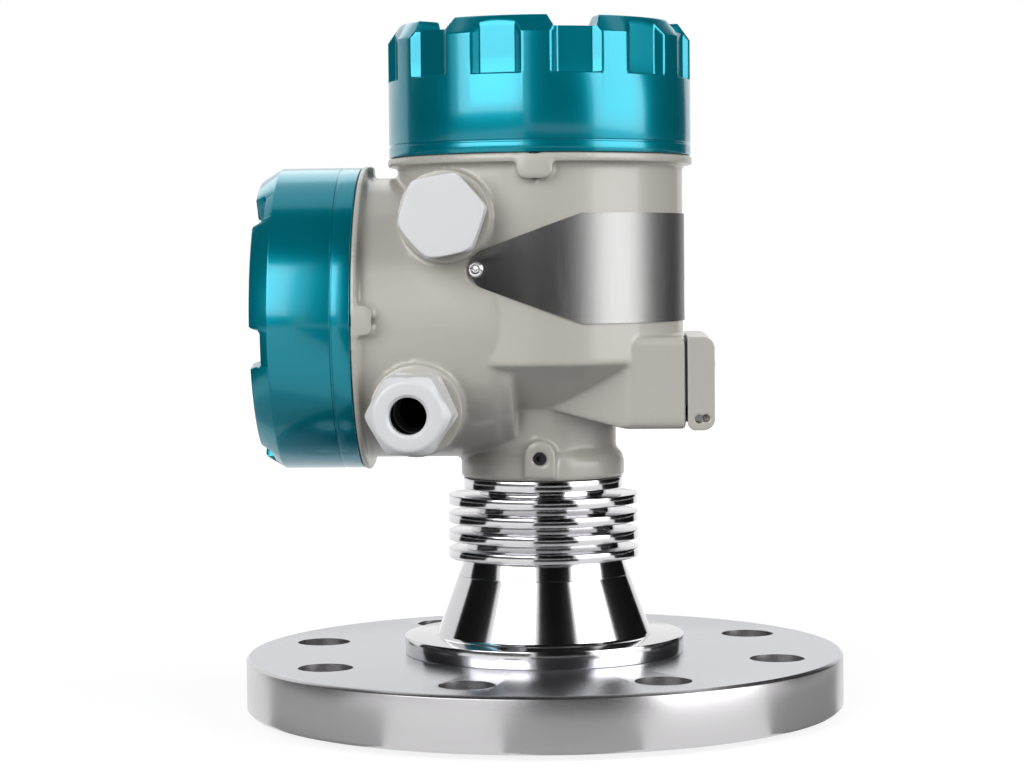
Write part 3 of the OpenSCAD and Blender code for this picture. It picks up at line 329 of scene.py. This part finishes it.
neck_points = [(HORN_THROAT_R, HUB_TOP, 0), (HUB_TOP_R - SEAM, HUB_TOP, 0),
               (HUB_TOP_R - 0.05, HUB_TOP + SEAM, 0), (FOOT_R, FIN_LOW, 0.2)]
for fin in range(FIN_COUNT):
    low = FIN_LOW + fin * FIN_PITCH
    high = low + FIN_T
    if fin:
        neck_points.append((core_radius(low), low, 0.2))
    neck_points += [(FIN_R, low, FIN_EDGE), (FIN_R, high, FIN_EDGE),
                    (core_radius(high), high, 0.2)]
neck_points += [
    (CORE_HIGH_R, STUB_LOW, 0.2), (STUB_R, STUB_LOW, 0.25), (STUB_R, STUB_HIGH, 0.25),
    (SPIGOT_R, STUB_HIGH, 0), (SPIGOT_R, GROOVE_LOW, 0), (GROOVE_R, GROOVE_LOW, 0),
    (GROOVE_R, GROOVE_HIGH, 0), (SPIGOT_R, GROOVE_HIGH, 0), (SPIGOT_R, neck_high.z, 0.3),
    (GUIDE_R, neck_high.z, 0), (GUIDE_R, GUIDE_SEAT, 0), (GUIDE_BORE_R, GUIDE_SEAT, 0),
    (HORN_THROAT_R, HUB_TOP, 0),
]
neck = turned("finned_neck", filleted(neck_points, 3), 256)
finish_piece(neck, polished_steel, "base", "cooling_neck")

# ---- Housing casting -----------------------------------------------------------------
# One aluminium die casting with a warm grey satin powder coat. Its edges and inside corners
# are soft: the solid is meshed finely again, and then smoothed.


def powder_coat(name, colour, roughness, grain, coat):
    """Powder coat on a casting: fine orange peel and a faint change of gloss."""
    material, tree, shader = new_material(name)
    shader.inputs["Base Color"].default_value = (*colour, 1)
    shader.inputs["Coat Weight"].default_value = coat
    shader.inputs["Coat Roughness"].default_value = 0.08
    where = object_place(tree)
    peel = link_noise(tree, where, 900)
    clouds = link_noise(tree, where, 45)
    tree.links.new(spread(tree, clouds, roughness - 0.04, roughness + 0.04),
                   shader.inputs["Roughness"])
    raise_bump(tree, shader, peel, grain)
    return material


grey_coat = powder_coat("grey powder coat", (0.42, 0.405, 0.368), 0.36, 0.00003, 0.3)


def soft_casting(node, name, body, voxel, passes, triangles):
    """A copy of a node's solid with soft edges, coated grey, that stands for the node."""
    part = bpy.data.objects.new(name, frame["nodes"][node].data.copy())
    bpy.context.scene.collection.objects.link(part)
    work_on(part)
    bpy.ops.object.mode_set(mode="EDIT")
    bpy.ops.mesh.select_all(action="SELECT")
    bpy.ops.mesh.remove_doubles(threshold=0.000002)
    bpy.ops.object.mode_set(mode="OBJECT")
    apply_new(part, "REMESH", mode="VOXEL", voxel_size=voxel, adaptivity=0.0)
    apply_new(part, "SMOOTH", factor=0.5, iterations=passes)
    made = sum(len(face.vertices) - 2 for face in part.data.polygons)
    apply_new(part, "DECIMATE", ratio=min(1.0, triangles / made))
    finish_piece(part, grey_coat, body, node)
    smooth(part, 60)


soft_casting("housing", "housing_casting", "head", 0.0007, 6, 190000)

# ---- Screw covers --------------------------------------------------------------------
# Two aluminium die castings with a gloss teal coat, screwed onto the chambers. The top one
# has grip pockets and a window, the side one is blind, and both rims have key notches.

teal_coat, tree, shader = new_material("teal gloss coat")
shader.inputs["Base Color"].default_value = (0.0, 0.215, 0.285, 1)
shader.inputs["Metallic"].default_value = 0.6
shader.inputs["Specular IOR Level"].default_value = 0.05
shader.inputs["Coat Weight"].default_value = 0.55
shader.inputs["Coat Roughness"].default_value = 0.1
where = object_place(tree)
tree.links.new(spread(tree, link_noise(tree, where, 40), 0.23, 0.28),
               shader.inputs["Roughness"])
raise_bump(tree, shader, link_noise(tree, where, 900), 0.00001)

joint_at = {joint["name"]: Vector(joint["pos_m"]) / MM
            for joint in frame["joints"] if "pos_m" in joint}
cover_low, cover_high = corners_of("top_cover")
COVER_R = cover_high.x
COVER_INNER_R = 44.6
RIM_OUTER_R = 46.3
RIM_INNER_R = 38.1
NOTCH_BLEND = 0.7


def soft_min(a, b, blend):
    """The smaller of two lengths, with a round passage of about the blend's size."""
    near = max(blend - abs(a - b), 0) / blend
    return min(a, b) - near * near * blend / 4


def wrapped(angle, step):
    """The angle from the middle of the nearest copy of a pattern, in radians."""
    return (angle + step / 2) % step - step / 2


def notched(z, r, angle, step, floor, half_width, wall):
    """The height that evenly spaced notches with sloping walls leave of a rim."""
    side = r * math.sin(abs(wrapped(angle, step)))
    return soft_min(z, floor + max(side - half_width, 0) * wall, NOTCH_BLEND)


def skirt(bore_r, seat, groove):
    """The foot of a cover's outside, with a fine groove turned in at a height."""
    return [
        (bore_r, seat, 0), (COVER_R, seat, 0.4), (COVER_R, groove, 0.15),
        (COVER_R - 0.3, groove + 0.2, 0.1), (COVER_R - 0.3, groove + 0.7, 0.1),
        (COVER_R, groove + 0.9, 0.15),
    ]


TOP_SEAT = cover_low.z
TOP_END = cover_high.z
TOP_BORE_R = 46.35
THREAD_TOP = 199.5
CHAMFER_LOW = 223.6
CHAMFER_STEPS = 6
CROWN_STEPS = 4
WINDOW_SEAT = 225.2
WINDOW_LIP_R = 34
WINDOW_LIP_LOW = 222.6
WINDOW_BED_R = 39.2
WINDOW_BED_LOW = 216.6
WINDOW_RING_R = 42
WINDOW_RING_LOW = 211.6

POCKET_STEP = math.radians(30)
POCKET_TURN = math.radians(16 - 90)
POCKET_FLOOR_R = 47.6
POCKET_FLOOR_HALF = 5.75
POCKET_EDGE_R = 49.58
POCKET_EDGE_HALF = 8.5
POCKET_FOOT = 210.2
pocket_slope = (POCKET_EDGE_R - POCKET_FLOOR_R) / (POCKET_EDGE_HALF - POCKET_FLOOR_HALF)
TOP_NOTCH_STEP = 2 * POCKET_STEP
TOP_NOTCH_FLOOR = 225.4
TOP_NOTCH_HALF = 7.0
TOP_NOTCH_WALL = 3.8 / 1.5


def pocket_limit(angle):
    """Radius that a grip pocket leaves at this angle: a flat floor between sloping walls."""
    a = abs(wrapped(angle - POCKET_TURN, POCKET_STEP))
    floor = POCKET_FLOOR_R / math.cos(a)
    foot = POCKET_FLOOR_R - POCKET_FLOOR_HALF * pocket_slope
    return max(floor, foot / (math.cos(a) - pocket_slope * math.sin(a)))


def pocket_radius(r, limit, rise):
    """Radius that a pocket leaves at a rise above its foot, which ends in a round corner."""
    depth = max(r - limit, 0)
    if rise < 0.1:
        return r
    if rise < 0.3:
        return r - min(depth, 0.12)
    if rise < 0.46:
        return r - min(depth, 0.4)
    if rise < 0.6:
        return min(r, limit + 0.45)
    if rise < 0.8:
        return min(r, limit + 0.15)
    return soft_min(r, limit, 0.6)


top_rings = filleted(skirt(TOP_BORE_R, TOP_SEAT, TOP_SEAT + 3.3) + [(COVER_R, 200, 0)], 2)
top_rings += [(COVER_R, POCKET_FOOT + rise) for rise in (0, 0.25, 0.42, 0.52, 0.7, 1.1, 5.8)]
top_rings.append((COVER_R, CHAMFER_LOW - 1.6))
crown = filleted([
    (COVER_R, CHAMFER_LOW - 1.1, 0), (COVER_R, CHAMFER_LOW, 0.8), (RIM_OUTER_R, TOP_END, 0.8),
    (RIM_INNER_R, TOP_END, 0.6), (RIM_INNER_R, WINDOW_SEAT, 0.4),
    (WINDOW_LIP_R, WINDOW_SEAT, 0.3), (WINDOW_LIP_R, WINDOW_LIP_LOW, 0),
], 4)
chamfer_start, rim_start = 6, 11
top_rings += crown[:chamfer_start]
for step in range(1, CHAMFER_STEPS):
    share = step / CHAMFER_STEPS
    top_rings.append((COVER_R + (RIM_OUTER_R - COVER_R) * share,
                      CHAMFER_LOW + (TOP_END - CHAMFER_LOW) * share))
top_rings += crown[chamfer_start:rim_start]
for step in range(1, CROWN_STEPS):
    top_rings.append((RIM_OUTER_R + (RIM_INNER_R - RIM_OUTER_R) * step / CROWN_STEPS, TOP_END))
top_rings += crown[rim_start:]
top_rings += [
    (WINDOW_BED_R, WINDOW_LIP_LOW), (WINDOW_BED_R, WINDOW_BED_LOW),
    (WINDOW_RING_R, WINDOW_BED_LOW), (WINDOW_RING_R, WINDOW_RING_LOW),
    (COVER_INNER_R, WINDOW_RING_LOW - 2), (COVER_INNER_R, THREAD_TOP),
    (TOP_BORE_R, THREAD_TOP - 1.5), (TOP_BORE_R, TOP_SEAT),
]
top_cover = turned("top_screw_cover", top_rings, 1080)
for corner in top_cover.data.vertices:
    x, y, z = corner.co / MM
    r = math.hypot(x, y)
    angle = math.atan2(y, x)
    if r > COVER_INNER_R + 0.2 and z > POCKET_FOOT - 0.2:
        share = pocket_radius(r, pocket_limit(angle), z - POCKET_FOOT) / r
        x, y = x * share, y * share
    if r > RIM_INNER_R - 0.2 and z > WINDOW_SEAT + 0.1:
        z = notched(z, r, angle - POCKET_TURN, TOP_NOTCH_STEP, TOP_NOTCH_FLOOR,
                    TOP_NOTCH_HALF, TOP_NOTCH_WALL)
    corner.co = Vector((x, y, z)) * MM
finish_piece(top_cover, teal_coat, "top_cap", "top_cover")

side_low, side_high = corners_of("side_cover")
SIDE_END = side_high.x - side_low.x
SIDE_BORE_R = 46.5
SIDE_CHAMFER_LOW = 26.4
SIDE_WEB = 28.9
SIDE_WEB_INNER = 24.9
SIDE_THREAD_TOP = 14
SIDE_NOTCH_STEP = math.radians(60)
SIDE_NOTCH_TURN = math.radians(-10.7 - 90)
SIDE_NOTCH_FLOOR = 29.1
SIDE_NOTCH_HALF = 5.5
SIDE_NOTCH_WALL = 3
MIDDLE_R = 0.2
side_rings = filleted(skirt(SIDE_BORE_R, 0, 5.8) + [
    (COVER_R, SIDE_CHAMFER_LOW, 1.0),
    ((COVER_R + RIM_OUTER_R) / 2, (SIDE_CHAMFER_LOW + SIDE_END) / 2, 0),
    (RIM_OUTER_R, SIDE_END, 1.0), ((RIM_OUTER_R + RIM_INNER_R) / 2, SIDE_END, 0),
    (RIM_INNER_R, SIDE_END, 0.6), (RIM_INNER_R, SIDE_WEB, 0.5), (3, SIDE_WEB, 0),
    (MIDDLE_R, SIDE_WEB, 0),
], 4)
side_rings += [
    (MIDDLE_R, SIDE_WEB_INNER), (COVER_INNER_R, SIDE_WEB_INNER),
    (COVER_INNER_R, SIDE_THREAD_TOP), (SIDE_BORE_R, SIDE_THREAD_TOP - 1.7),
    (SIDE_BORE_R, 0),
]
side_cover = turned("side_screw_cover", side_rings, 720)
for corner in side_cover.data.vertices:
    x, y, z = corner.co / MM
    r = math.hypot(x, y)
    if r > RIM_INNER_R - 0.2 and z > SIDE_NOTCH_FLOOR:
        z = notched(z, r, math.atan2(y, x) - SIDE_NOTCH_TURN, SIDE_NOTCH_STEP,
                    SIDE_NOTCH_FLOOR, SIDE_NOTCH_HALF, SIDE_NOTCH_WALL)
    corner.co = Vector((x, y, z)) * MM
place(side_cover, turn=(0, -90, 0), at=joint_at["side_cover_turn"])
finish_piece(side_cover, teal_coat, "side_cap", "side_cover")

# ---- Cable gland and blanking plug ---------------------------------------------------
# Moulded in pale nylon and screwed into the casting's bosses. Their heads are hexagons: the
# gland's nut is domed round its cable hole, and the plug has a flat face.


def nylon(name, colour):
    """Satin nylon that lets a little light in."""
    material, tree, shader = new_material(name)
    shader.inputs["Base Color"].default_value = (*colour, 1)
    shader.inputs["Subsurface Weight"].default_value = 0.15
    shader.inputs["Subsurface Radius"].default_value = (0.002, 0.002, 0.002)
    where = object_place(tree)
    tree.links.new(spread(tree, link_noise(tree, where, 60), 0.3, 0.42),
                   shader.inputs["Roughness"])
    raise_bump(tree, shader, link_noise(tree, where, 700), 0.00001)
    return material


white_nylon = nylon("white nylon", (0.64, 0.645, 0.66))


def hex_limit(angle, flat_half, corner_blend):
    """Radius of a hexagon's outline at this angle, its corners a little rounded."""
    a = wrapped(angle, math.pi / 3)
    near = flat_half / math.cos(a)
    beside = flat_half / math.cos(abs(a) - math.pi / 3)
    return soft_min(near, beside, corner_blend)


def hexagon_head(name, rings, low, high, flat_half, blend=0.5):
    """A turned shape whose outside is cut to a hexagon between two heights."""
    head = turned(name, rings, 360)
    for corner in head.data.vertices:
        x, y, z = corner.co / MM
        r = math.hypot(x, y)
        if low <= z <= high and r > flat_half * 0.6:
            limit = hex_limit(math.atan2(y, x) + math.pi / 6, flat_half, blend)
            share = soft_min(r, limit, blend) / r
            corner.co = Vector((x * share, y * share, z)) * MM
    return head


def face_front(part, turn, seat):
    """Turns a piece that stands along Z about its axis, and seats it facing -Y."""
    place(part, turn=(0, 0, turn))
    place(part, turn=(90, 0, 0), at=seat)


ENTRY_SHANK_R = 9.9
HEX_HALF = 12.0
HEX_CORNER_R = 13.86
CABLE_R = 5.85
INSERT_R = 9.7
INSERT_TOP = 18
NUT_TOP = 24
_, nut_high = corners_of("gland_nut")
gland_axis = joint_at["gland_nut_turn"]
gland_nut = hexagon_head("gland_nut_head", filleted([
    (INSERT_R, 0, 0), (HEX_CORNER_R, 0, 0.4), (HEX_CORNER_R, 7, 0), (HEX_CORNER_R, 14, 0),
    (HEX_CORNER_R, 18.5, 0), (13.4, 21.6, 1.5), (10.6, NUT_TOP, 2.0), (6.8, NUT_TOP, 0.5),
    (CABLE_R, 23.2, 0.3), (CABLE_R, INSERT_TOP, 0), (INSERT_R, INSERT_TOP, 0),
    (INSERT_R, 0, 0),
], 5), -1, NUT_TOP - 0.1, HEX_HALF)
face_front(gland_nut, 0, (gland_axis.x, nut_high.y, gland_axis.z))
finish_piece(gland_nut, white_nylon, "gland_cap", "gland_nut")

BODY_HEX_TOP = 7
BODY_TOP = 19
BODY_LOW = -16
BODY_BORE_R = 6.35
BODY_BORE_TOP = 5
BODY_NECK_R = 9.4
BODY_CUP_R = 8.8
BODY_TURN = -6
ENTRY_FACE_Y = -50
gland_body = hexagon_head("gland_body_shell", filleted([
    (BODY_BORE_R, BODY_LOW, 0), (ENTRY_SHANK_R, BODY_LOW, 0.3), (ENTRY_SHANK_R, 0, 0),
    (HEX_CORNER_R, 0, 0.4), (HEX_CORNER_R, 3.5, 0), (HEX_CORNER_R, 6, 0.5),
    (12.8, BODY_HEX_TOP, 0.4), (BODY_NECK_R, BODY_HEX_TOP, 0), (BODY_NECK_R, BODY_TOP, 0.3),
    (BODY_CUP_R, BODY_TOP, 0), (BODY_CUP_R, BODY_BORE_TOP, 0), (BODY_BORE_R, BODY_BORE_TOP, 0),
    (BODY_BORE_R, BODY_LOW, 0),
], 3), -0.1, BODY_HEX_TOP + 0.1, HEX_HALF)
face_front(gland_body, BODY_TURN, (gland_axis.x, ENTRY_FACE_Y, gland_axis.z))
finish_piece(gland_body, white_nylon, "head", "gland_body")

PLUG_HEX_HALF = 12.5
PLUG_CORNER_R = 14.4
PLUG_TOP = 13
PLUG_LOW = -12
PLUG_TURN = 11
plug = hexagon_head("plug_head", filleted([
    (MIDDLE_R, PLUG_LOW, 0), (ENTRY_SHANK_R, PLUG_LOW, 0.5), (ENTRY_SHANK_R, 0, 0),
    (PLUG_CORNER_R, 0, 0.6), (PLUG_CORNER_R, 6, 0), (PLUG_CORNER_R, PLUG_TOP - 1, 0.5),
    (PLUG_CORNER_R - 1.2, PLUG_TOP, 0.7), (11, PLUG_TOP, 0), (5, PLUG_TOP, 0),
    (MIDDLE_R, PLUG_TOP, 0),
], 6), -0.1, PLUG_TOP + 0.1, PLUG_HEX_HALF, 1.0)
face_front(plug, PLUG_TURN, joint_at["plug_turn"])
finish_piece(plug, white_nylon, "plug", "blanking_plug")

# ---- Nameplate -----------------------------------------------------------------------
# Stainless sheet, brushed upright, bent round the chamber and left bare. Its brushing
# spreads each reflection sideways.


def dress(material, *nodes):
    """Gives frame nodes that keep their own shape a material."""
    for node in nodes:
        frame["nodes"][node].data.materials.clear()
        frame["nodes"][node].data.materials.append(material)


plate_steel, tree, shader = new_material("brushed sheet")
shader.inputs["Base Color"].default_value = (0.2, 0.199, 0.198, 1)
shader.inputs["Metallic"].default_value = 1.0
shader.inputs["Anisotropic"].default_value = 1.0
round_chamber = tree.nodes.new("ShaderNodeTangent")
round_chamber.direction_type = "RADIAL"
round_chamber.axis = "Z"
tree.links.new(round_chamber.outputs["Tangent"], shader.inputs["Tangent"])
squash_map = tree.nodes.new("ShaderNodeMapping")
squash_map.inputs["Scale"].default_value = (1, 1, 0.03)
tree.links.new(object_place(tree), squash_map.inputs["Vector"])
streaks = link_noise(tree, squash_map.outputs["Vector"], 2500, 3.0)
tree.links.new(spread(tree, streaks, 0.18, 0.25), shader.inputs["Roughness"])
raise_bump(tree, shader, streaks, 0.000003, 0.5)
dress(plate_steel, "nameplate")

# ---- Small steel pieces --------------------------------------------------------------
# Plain turned steel, and black oxide on the set screws. The nameplate's two drive screws
# have a round head with a dished middle, and are hammered into the chamber's wall.

bright_steel = turned_steel("bright steel", 0.2)
black_steel = turned_steel("black oxide steel", 0.4, (0.05, 0.05, 0.055))

PLATE_SCREW_TURNS = (-23.3, 148.8)
PLATE_FACE_R = 48.1
plate_low, plate_high = corners_of("nameplate")
plate_middle = (plate_low.z + plate_high.z) / 2
DRIVE_HEAD_R = 2.7
DRIVE_SHANK_R = 1.3
DRIVE_SHANK_L = 4.2
drive_rings = filleted([
    (0.1, 0.55, 0), (1.1, 0.45, 0.3), (1.7, 1.15, 0.4), (2.5, 1.0, 0.5),
    (DRIVE_HEAD_R, 0.4, 0.1), (DRIVE_HEAD_R, 0, 0), (DRIVE_SHANK_R, 0, 0),
    (DRIVE_SHANK_R, -DRIVE_SHANK_L, 0.3), (0.1, -DRIVE_SHANK_L, 0),
], 3)
drive_screws = []
for turn in PLATE_SCREW_TURNS:
    screw = turned("drive_screw", drive_rings, 48)
    face_front(screw, 0, (0, -PLATE_FACE_R, plate_middle))
    place(screw, turn=(0, 0, turn))
    drive_screws.append(screw)
deselect()
for screw in drive_screws:
    screw.select_set(True)
bpy.context.view_layer.objects.active = drive_screws[0]
bpy.ops.object.join()
finish_piece(drive_screws[0], bright_steel, "head", "nameplate_screws")
dress(bright_steel, "display_screws", "terminal_screws", "ground_screw", "key_cover_screw",
      "key_hinge_pin", "terminal_plate", "radar_module", "retaining_ring", "waveguide_tube")
dress(black_steel, "cover_lock_screws", "collar_set_screw")

# ---- Key cover -----------------------------------------------------------------------
# A small die-cast flap over the four keys, coated like the housing, with soft edges. It
# hangs on a steel pin at the foot of the key box.

soft_casting("key_cover", "key_cover_shell", "key_lid", 0.0003, 4, 60000)

# ---- Seals, keys and inner pieces ----------------------------------------------------
# Black rubber seals, dark moulded electronics and keys, and the antenna's white lens. They
# keep the frame's own shapes, and sit in the housing, the covers and the horn.


def moulded(name, colour, roughness):
    """A moulded surface: fine grain and a faint change of gloss."""
    material, tree, shader = new_material(name)
    shader.inputs["Base Color"].default_value = (*colour, 1)
    where = object_place(tree)
    clouds = link_noise(tree, where, 90)
    tree.links.new(spread(tree, clouds, roughness - 0.06, roughness + 0.06),
                   shader.inputs["Roughness"])
    raise_bump(tree, shader, link_noise(tree, where, 1500), 0.00002)
    return material


black_rubber = moulded("black rubber", (0.02, 0.021, 0.024), 0.6)
grey_plastic = moulded("grey plastic", (0.05, 0.052, 0.058), 0.45)
lens_plastic = moulded("white fluoropolymer", (0.8, 0.8, 0.77), 0.4)
dress(black_rubber, "lens_seal", "neck_seal", "key_gasket", "top_cover_seal",
      "side_cover_seal", "gland_insert", "plug_gasket", "window_gasket")
dress(grey_plastic, "electronics_cup", "display_module", "display_screen", "terminal_block",
      "window_ring", "cable_feedthrough", "escape_key", "minus_key", "plus_key", "enter_key")
dress(lens_plastic, "lens_antenna")

# ---- Window --------------------------------------------------------------------------
# A flat disc of clear glass. A screwed ring holds it against the top cover's lip, on its
# gasket.

window_glass, tree, shader = new_material("window glass")
shader.inputs["Base Color"].default_value = (0.95, 0.98, 0.98, 1)
shader.inputs["Transmission Weight"].default_value = 1.0
shader.inputs["Roughness"].default_value = 0.02
shader.inputs["IOR"].default_value = 1.5
dress(window_glass, "top_window")

# ---- Camera --------------------------------------------------------------------------
# A long lens in front and a little to the right, at about the chamber's height. The lens
# and the sensor's width are in mm, and so is the camera's place.

CAMERA_AT = (33.37, -921.4, 150.89)
CAMERA_YAW = 2.7
CAMERA_ELEVATION = 2.553
CAMERA_ROLL = -0.578
CAMERA_LENS = 96.67
SENSOR_WIDTH = 36
scene = bpy.context.scene
scene.view_settings.view_transform = "Standard"
camera_data = bpy.data.cameras.new("camera")
camera_data.lens = CAMERA_LENS
camera_data.sensor_width = SENSOR_WIDTH
camera_data.clip_start = 0.01
camera = bpy.data.objects.new("camera", camera_data)
scene.collection.objects.link(camera)
camera.matrix_world = (
    Matrix.Translation(Vector(CAMERA_AT) * MM)
    @ Matrix.Rotation(math.radians(CAMERA_YAW), 4, "Z")
    @ Matrix.Rotation(math.radians(90 - CAMERA_ELEVATION), 4, "X")
    @ Matrix.Rotation(math.radians(CAMERA_ROLL), 4, "Z")
)
scene.camera = camera

# ---- White room ----------------------------------------------------------------------
# The camera, polished metal and glass see a white world and a white floor. As a light on
# the object the world is dim.


def seen_ray(tree):
    """1 for what the camera, polished metal and glass see, 0 for the light on the object."""
    ray = tree.nodes.new("ShaderNodeLightPath")
    total = ray.outputs["Is Camera Ray"]
    for kind in ("Is Glossy Ray", "Is Transmission Ray"):
        either = tree.nodes.new("ShaderNodeMath")
        either.operation = "MAXIMUM"
        tree.links.new(total, either.inputs[0])
        tree.links.new(ray.outputs[kind], either.inputs[1])
        total = either.outputs[0]
    return total


ROOM_LIGHT = 0.2
world = bpy.data.worlds.new("white room")
scene.world = world
world.use_nodes = True
tree = world.node_tree
background = tree.nodes["Background"]
background.inputs["Color"].default_value = (1, 1, 1, 1)
tree.links.new(spread(tree, seen_ray(tree), ROOM_LIGHT, 1.0), background.inputs["Strength"])

# The floor glows for the camera, and more so over the first metre outwards, where less
# light falls on it. Beside the flange the object's soft shadow still shows.
FLOOR_SIZE = 40
GLOW_NEAR = 0.78
GLOW_FAR = 1.05
floor_material, tree, shader = new_material("white floor")
shader.inputs["Base Color"].default_value = (0.25, 0.25, 0.25, 1)
shader.inputs["Roughness"].default_value = 1.0
shader.inputs["Specular IOR Level"].default_value = 0.0
shader.inputs["Emission Color"].default_value = (1, 1, 1, 1)
glow = tree.nodes.new("ShaderNodeMath")
glow.operation = "MULTIPLY"
far_out = length_of(tree, object_place(tree))
tree.links.new(spread(tree, far_out, GLOW_NEAR, GLOW_FAR), glow.inputs[0])
tree.links.new(seen_ray(tree), glow.inputs[1])
tree.links.new(glow.outputs[0], shader.inputs["Emission Strength"])
deselect()
bpy.ops.mesh.primitive_plane_add(size=FLOOR_SIZE, location=(0, 0, 0))
floor = bpy.context.object
floor.name = "studio_floor"
floor.data.materials.append(floor_material)

# ---- Soft boxes ----------------------------------------------------------------------
# Two tall ones in front, to the left and the right, and a weak high one behind. Distances
# and heights are in metres.


def around(azimuth, distance, height):
    """A place round the object, its azimuth in degrees from the camera's side towards +X."""
    a = math.radians(azimuth + CAMERA_YAW)
    return Vector((math.sin(a) * distance, -math.cos(a) * distance, height))


def soft_box(name, azimuth, half_angle, distance, low, high, radiance, aim=None):
    """A lamp panel over an azimuth range, from one height to another, facing the object."""
    width = 2 * distance * math.tan(math.radians(half_angle))
    lamp_data = bpy.data.lights.new(name, "AREA")
    lamp_data.shape = "RECTANGLE"
    lamp_data.size = width
    lamp_data.size_y = high - low
    lamp_data.energy = radiance * math.pi * width * (high - low)
    lamp = bpy.data.objects.new(name, lamp_data)
    lamp.location = around(azimuth, distance, (low + high) / 2)
    target = Vector((0, 0, (low + high) / 2 if aim is None else aim))
    lamp.rotation_euler = (target - lamp.location).to_track_quat("-Z", "Y").to_euler()
    scene.collection.objects.link(lamp)


soft_box("left soft box", -38, 25, 1.5, 0.225, 1.5, 4.6)
soft_box("right soft box", 62, 22, 1.5, 0.03, 1.7, 3.9)
soft_box("back soft box", 180, 35, 1.8, 0.9, 2.1, 1.2, aim=0.15)

# ---- Cards ---------------------------------------------------------------------------
# Matt cards that only polished surfaces see. Black ones stand or lie where turned steel
# shows its dark bands, and grey ones lie where the flange's rim shows its grey bands.


def card_material(name, shade):
    material, tree, shader = new_material(name)
    shader.inputs["Base Color"].default_value = (shade, shade, shade, 1)
    shader.inputs["Roughness"].default_value = 1.0
    shader.inputs["Specular IOR Level"].default_value = 0.0
    return material


black_card = card_material("black card", 0.012)
grey_card = card_material("grey card", 0.62)
dark_grey_card = card_material("dark grey card", 0.42)


def card(name, corners, material):
    """A card through four corners: two of one edge, then two of the opposite edge."""
    deselect()
    bpy.ops.mesh.primitive_plane_add(size=1)
    part = bpy.context.object
    part.name = name
    for vertex, corner in zip(part.data.vertices, corners):
        vertex.co = corner
    part.data.materials.append(material)
    part.visible_camera = False
    part.visible_diffuse = False
    part.visible_shadow = False
    part.visible_transmission = False


def standing_card(name, azimuth, half_angle, distance, low, high):
    """A black card that stands across an azimuth range, from one height to another."""
    left, right = azimuth - half_angle, azimuth + half_angle
    reach = distance / math.cos(math.radians(half_angle))
    card(name, (around(left, reach, low), around(right, reach, low),
                around(left, reach, high), around(right, reach, high)), black_card)


def floor_card(name, left, right):
    """A black card on the floor over an azimuth range, which the fins show."""
    near, far, height = 0.32, 1.4, 0.0004
    card(name, (around(left, near, height), around(right, near, height),
                around(left, far, height), around(right, far, height)), black_card)


def rim_card(name, left, right, material):
    """A card on the floor that the rim shows as an upright band between two of its angles."""
    start, length, height = FLANGE_R * MM + 0.0005, 0.2, 0.0006
    near = [around(angle, start, height) for angle in (left, right)]
    far = [corner + around(2 * angle, length, 0)
           for corner, angle in zip(near, (left, right))]
    card(name, near + far, material)


CEILING = 2.4
standing_card("front card", 14, 22, 2.2, 0.0, CEILING)
standing_card("low front card", -42, 30, 1.45, 0.02, 0.205)
standing_card("left card", -94, 24, 1.5, 0.0, 2.2)
standing_card("right card", 116, 29, 1.5, 0.0, 2.2)
card("ceiling card", [Vector((x, y, CEILING)) for y in (-2.4, 0.1) for x in (-1.8, 1.8)],
     black_card)
rim_card("front rim card", -8, 17, grey_card)
rim_card("left rim card", -64, -31, grey_card)
rim_card("right rim card", 45, 74, dark_grey_card)
floor_card("front floor card", -12, 40)
floor_card("left floor card", -120, -72)
floor_card("right floor card", 92, 140)
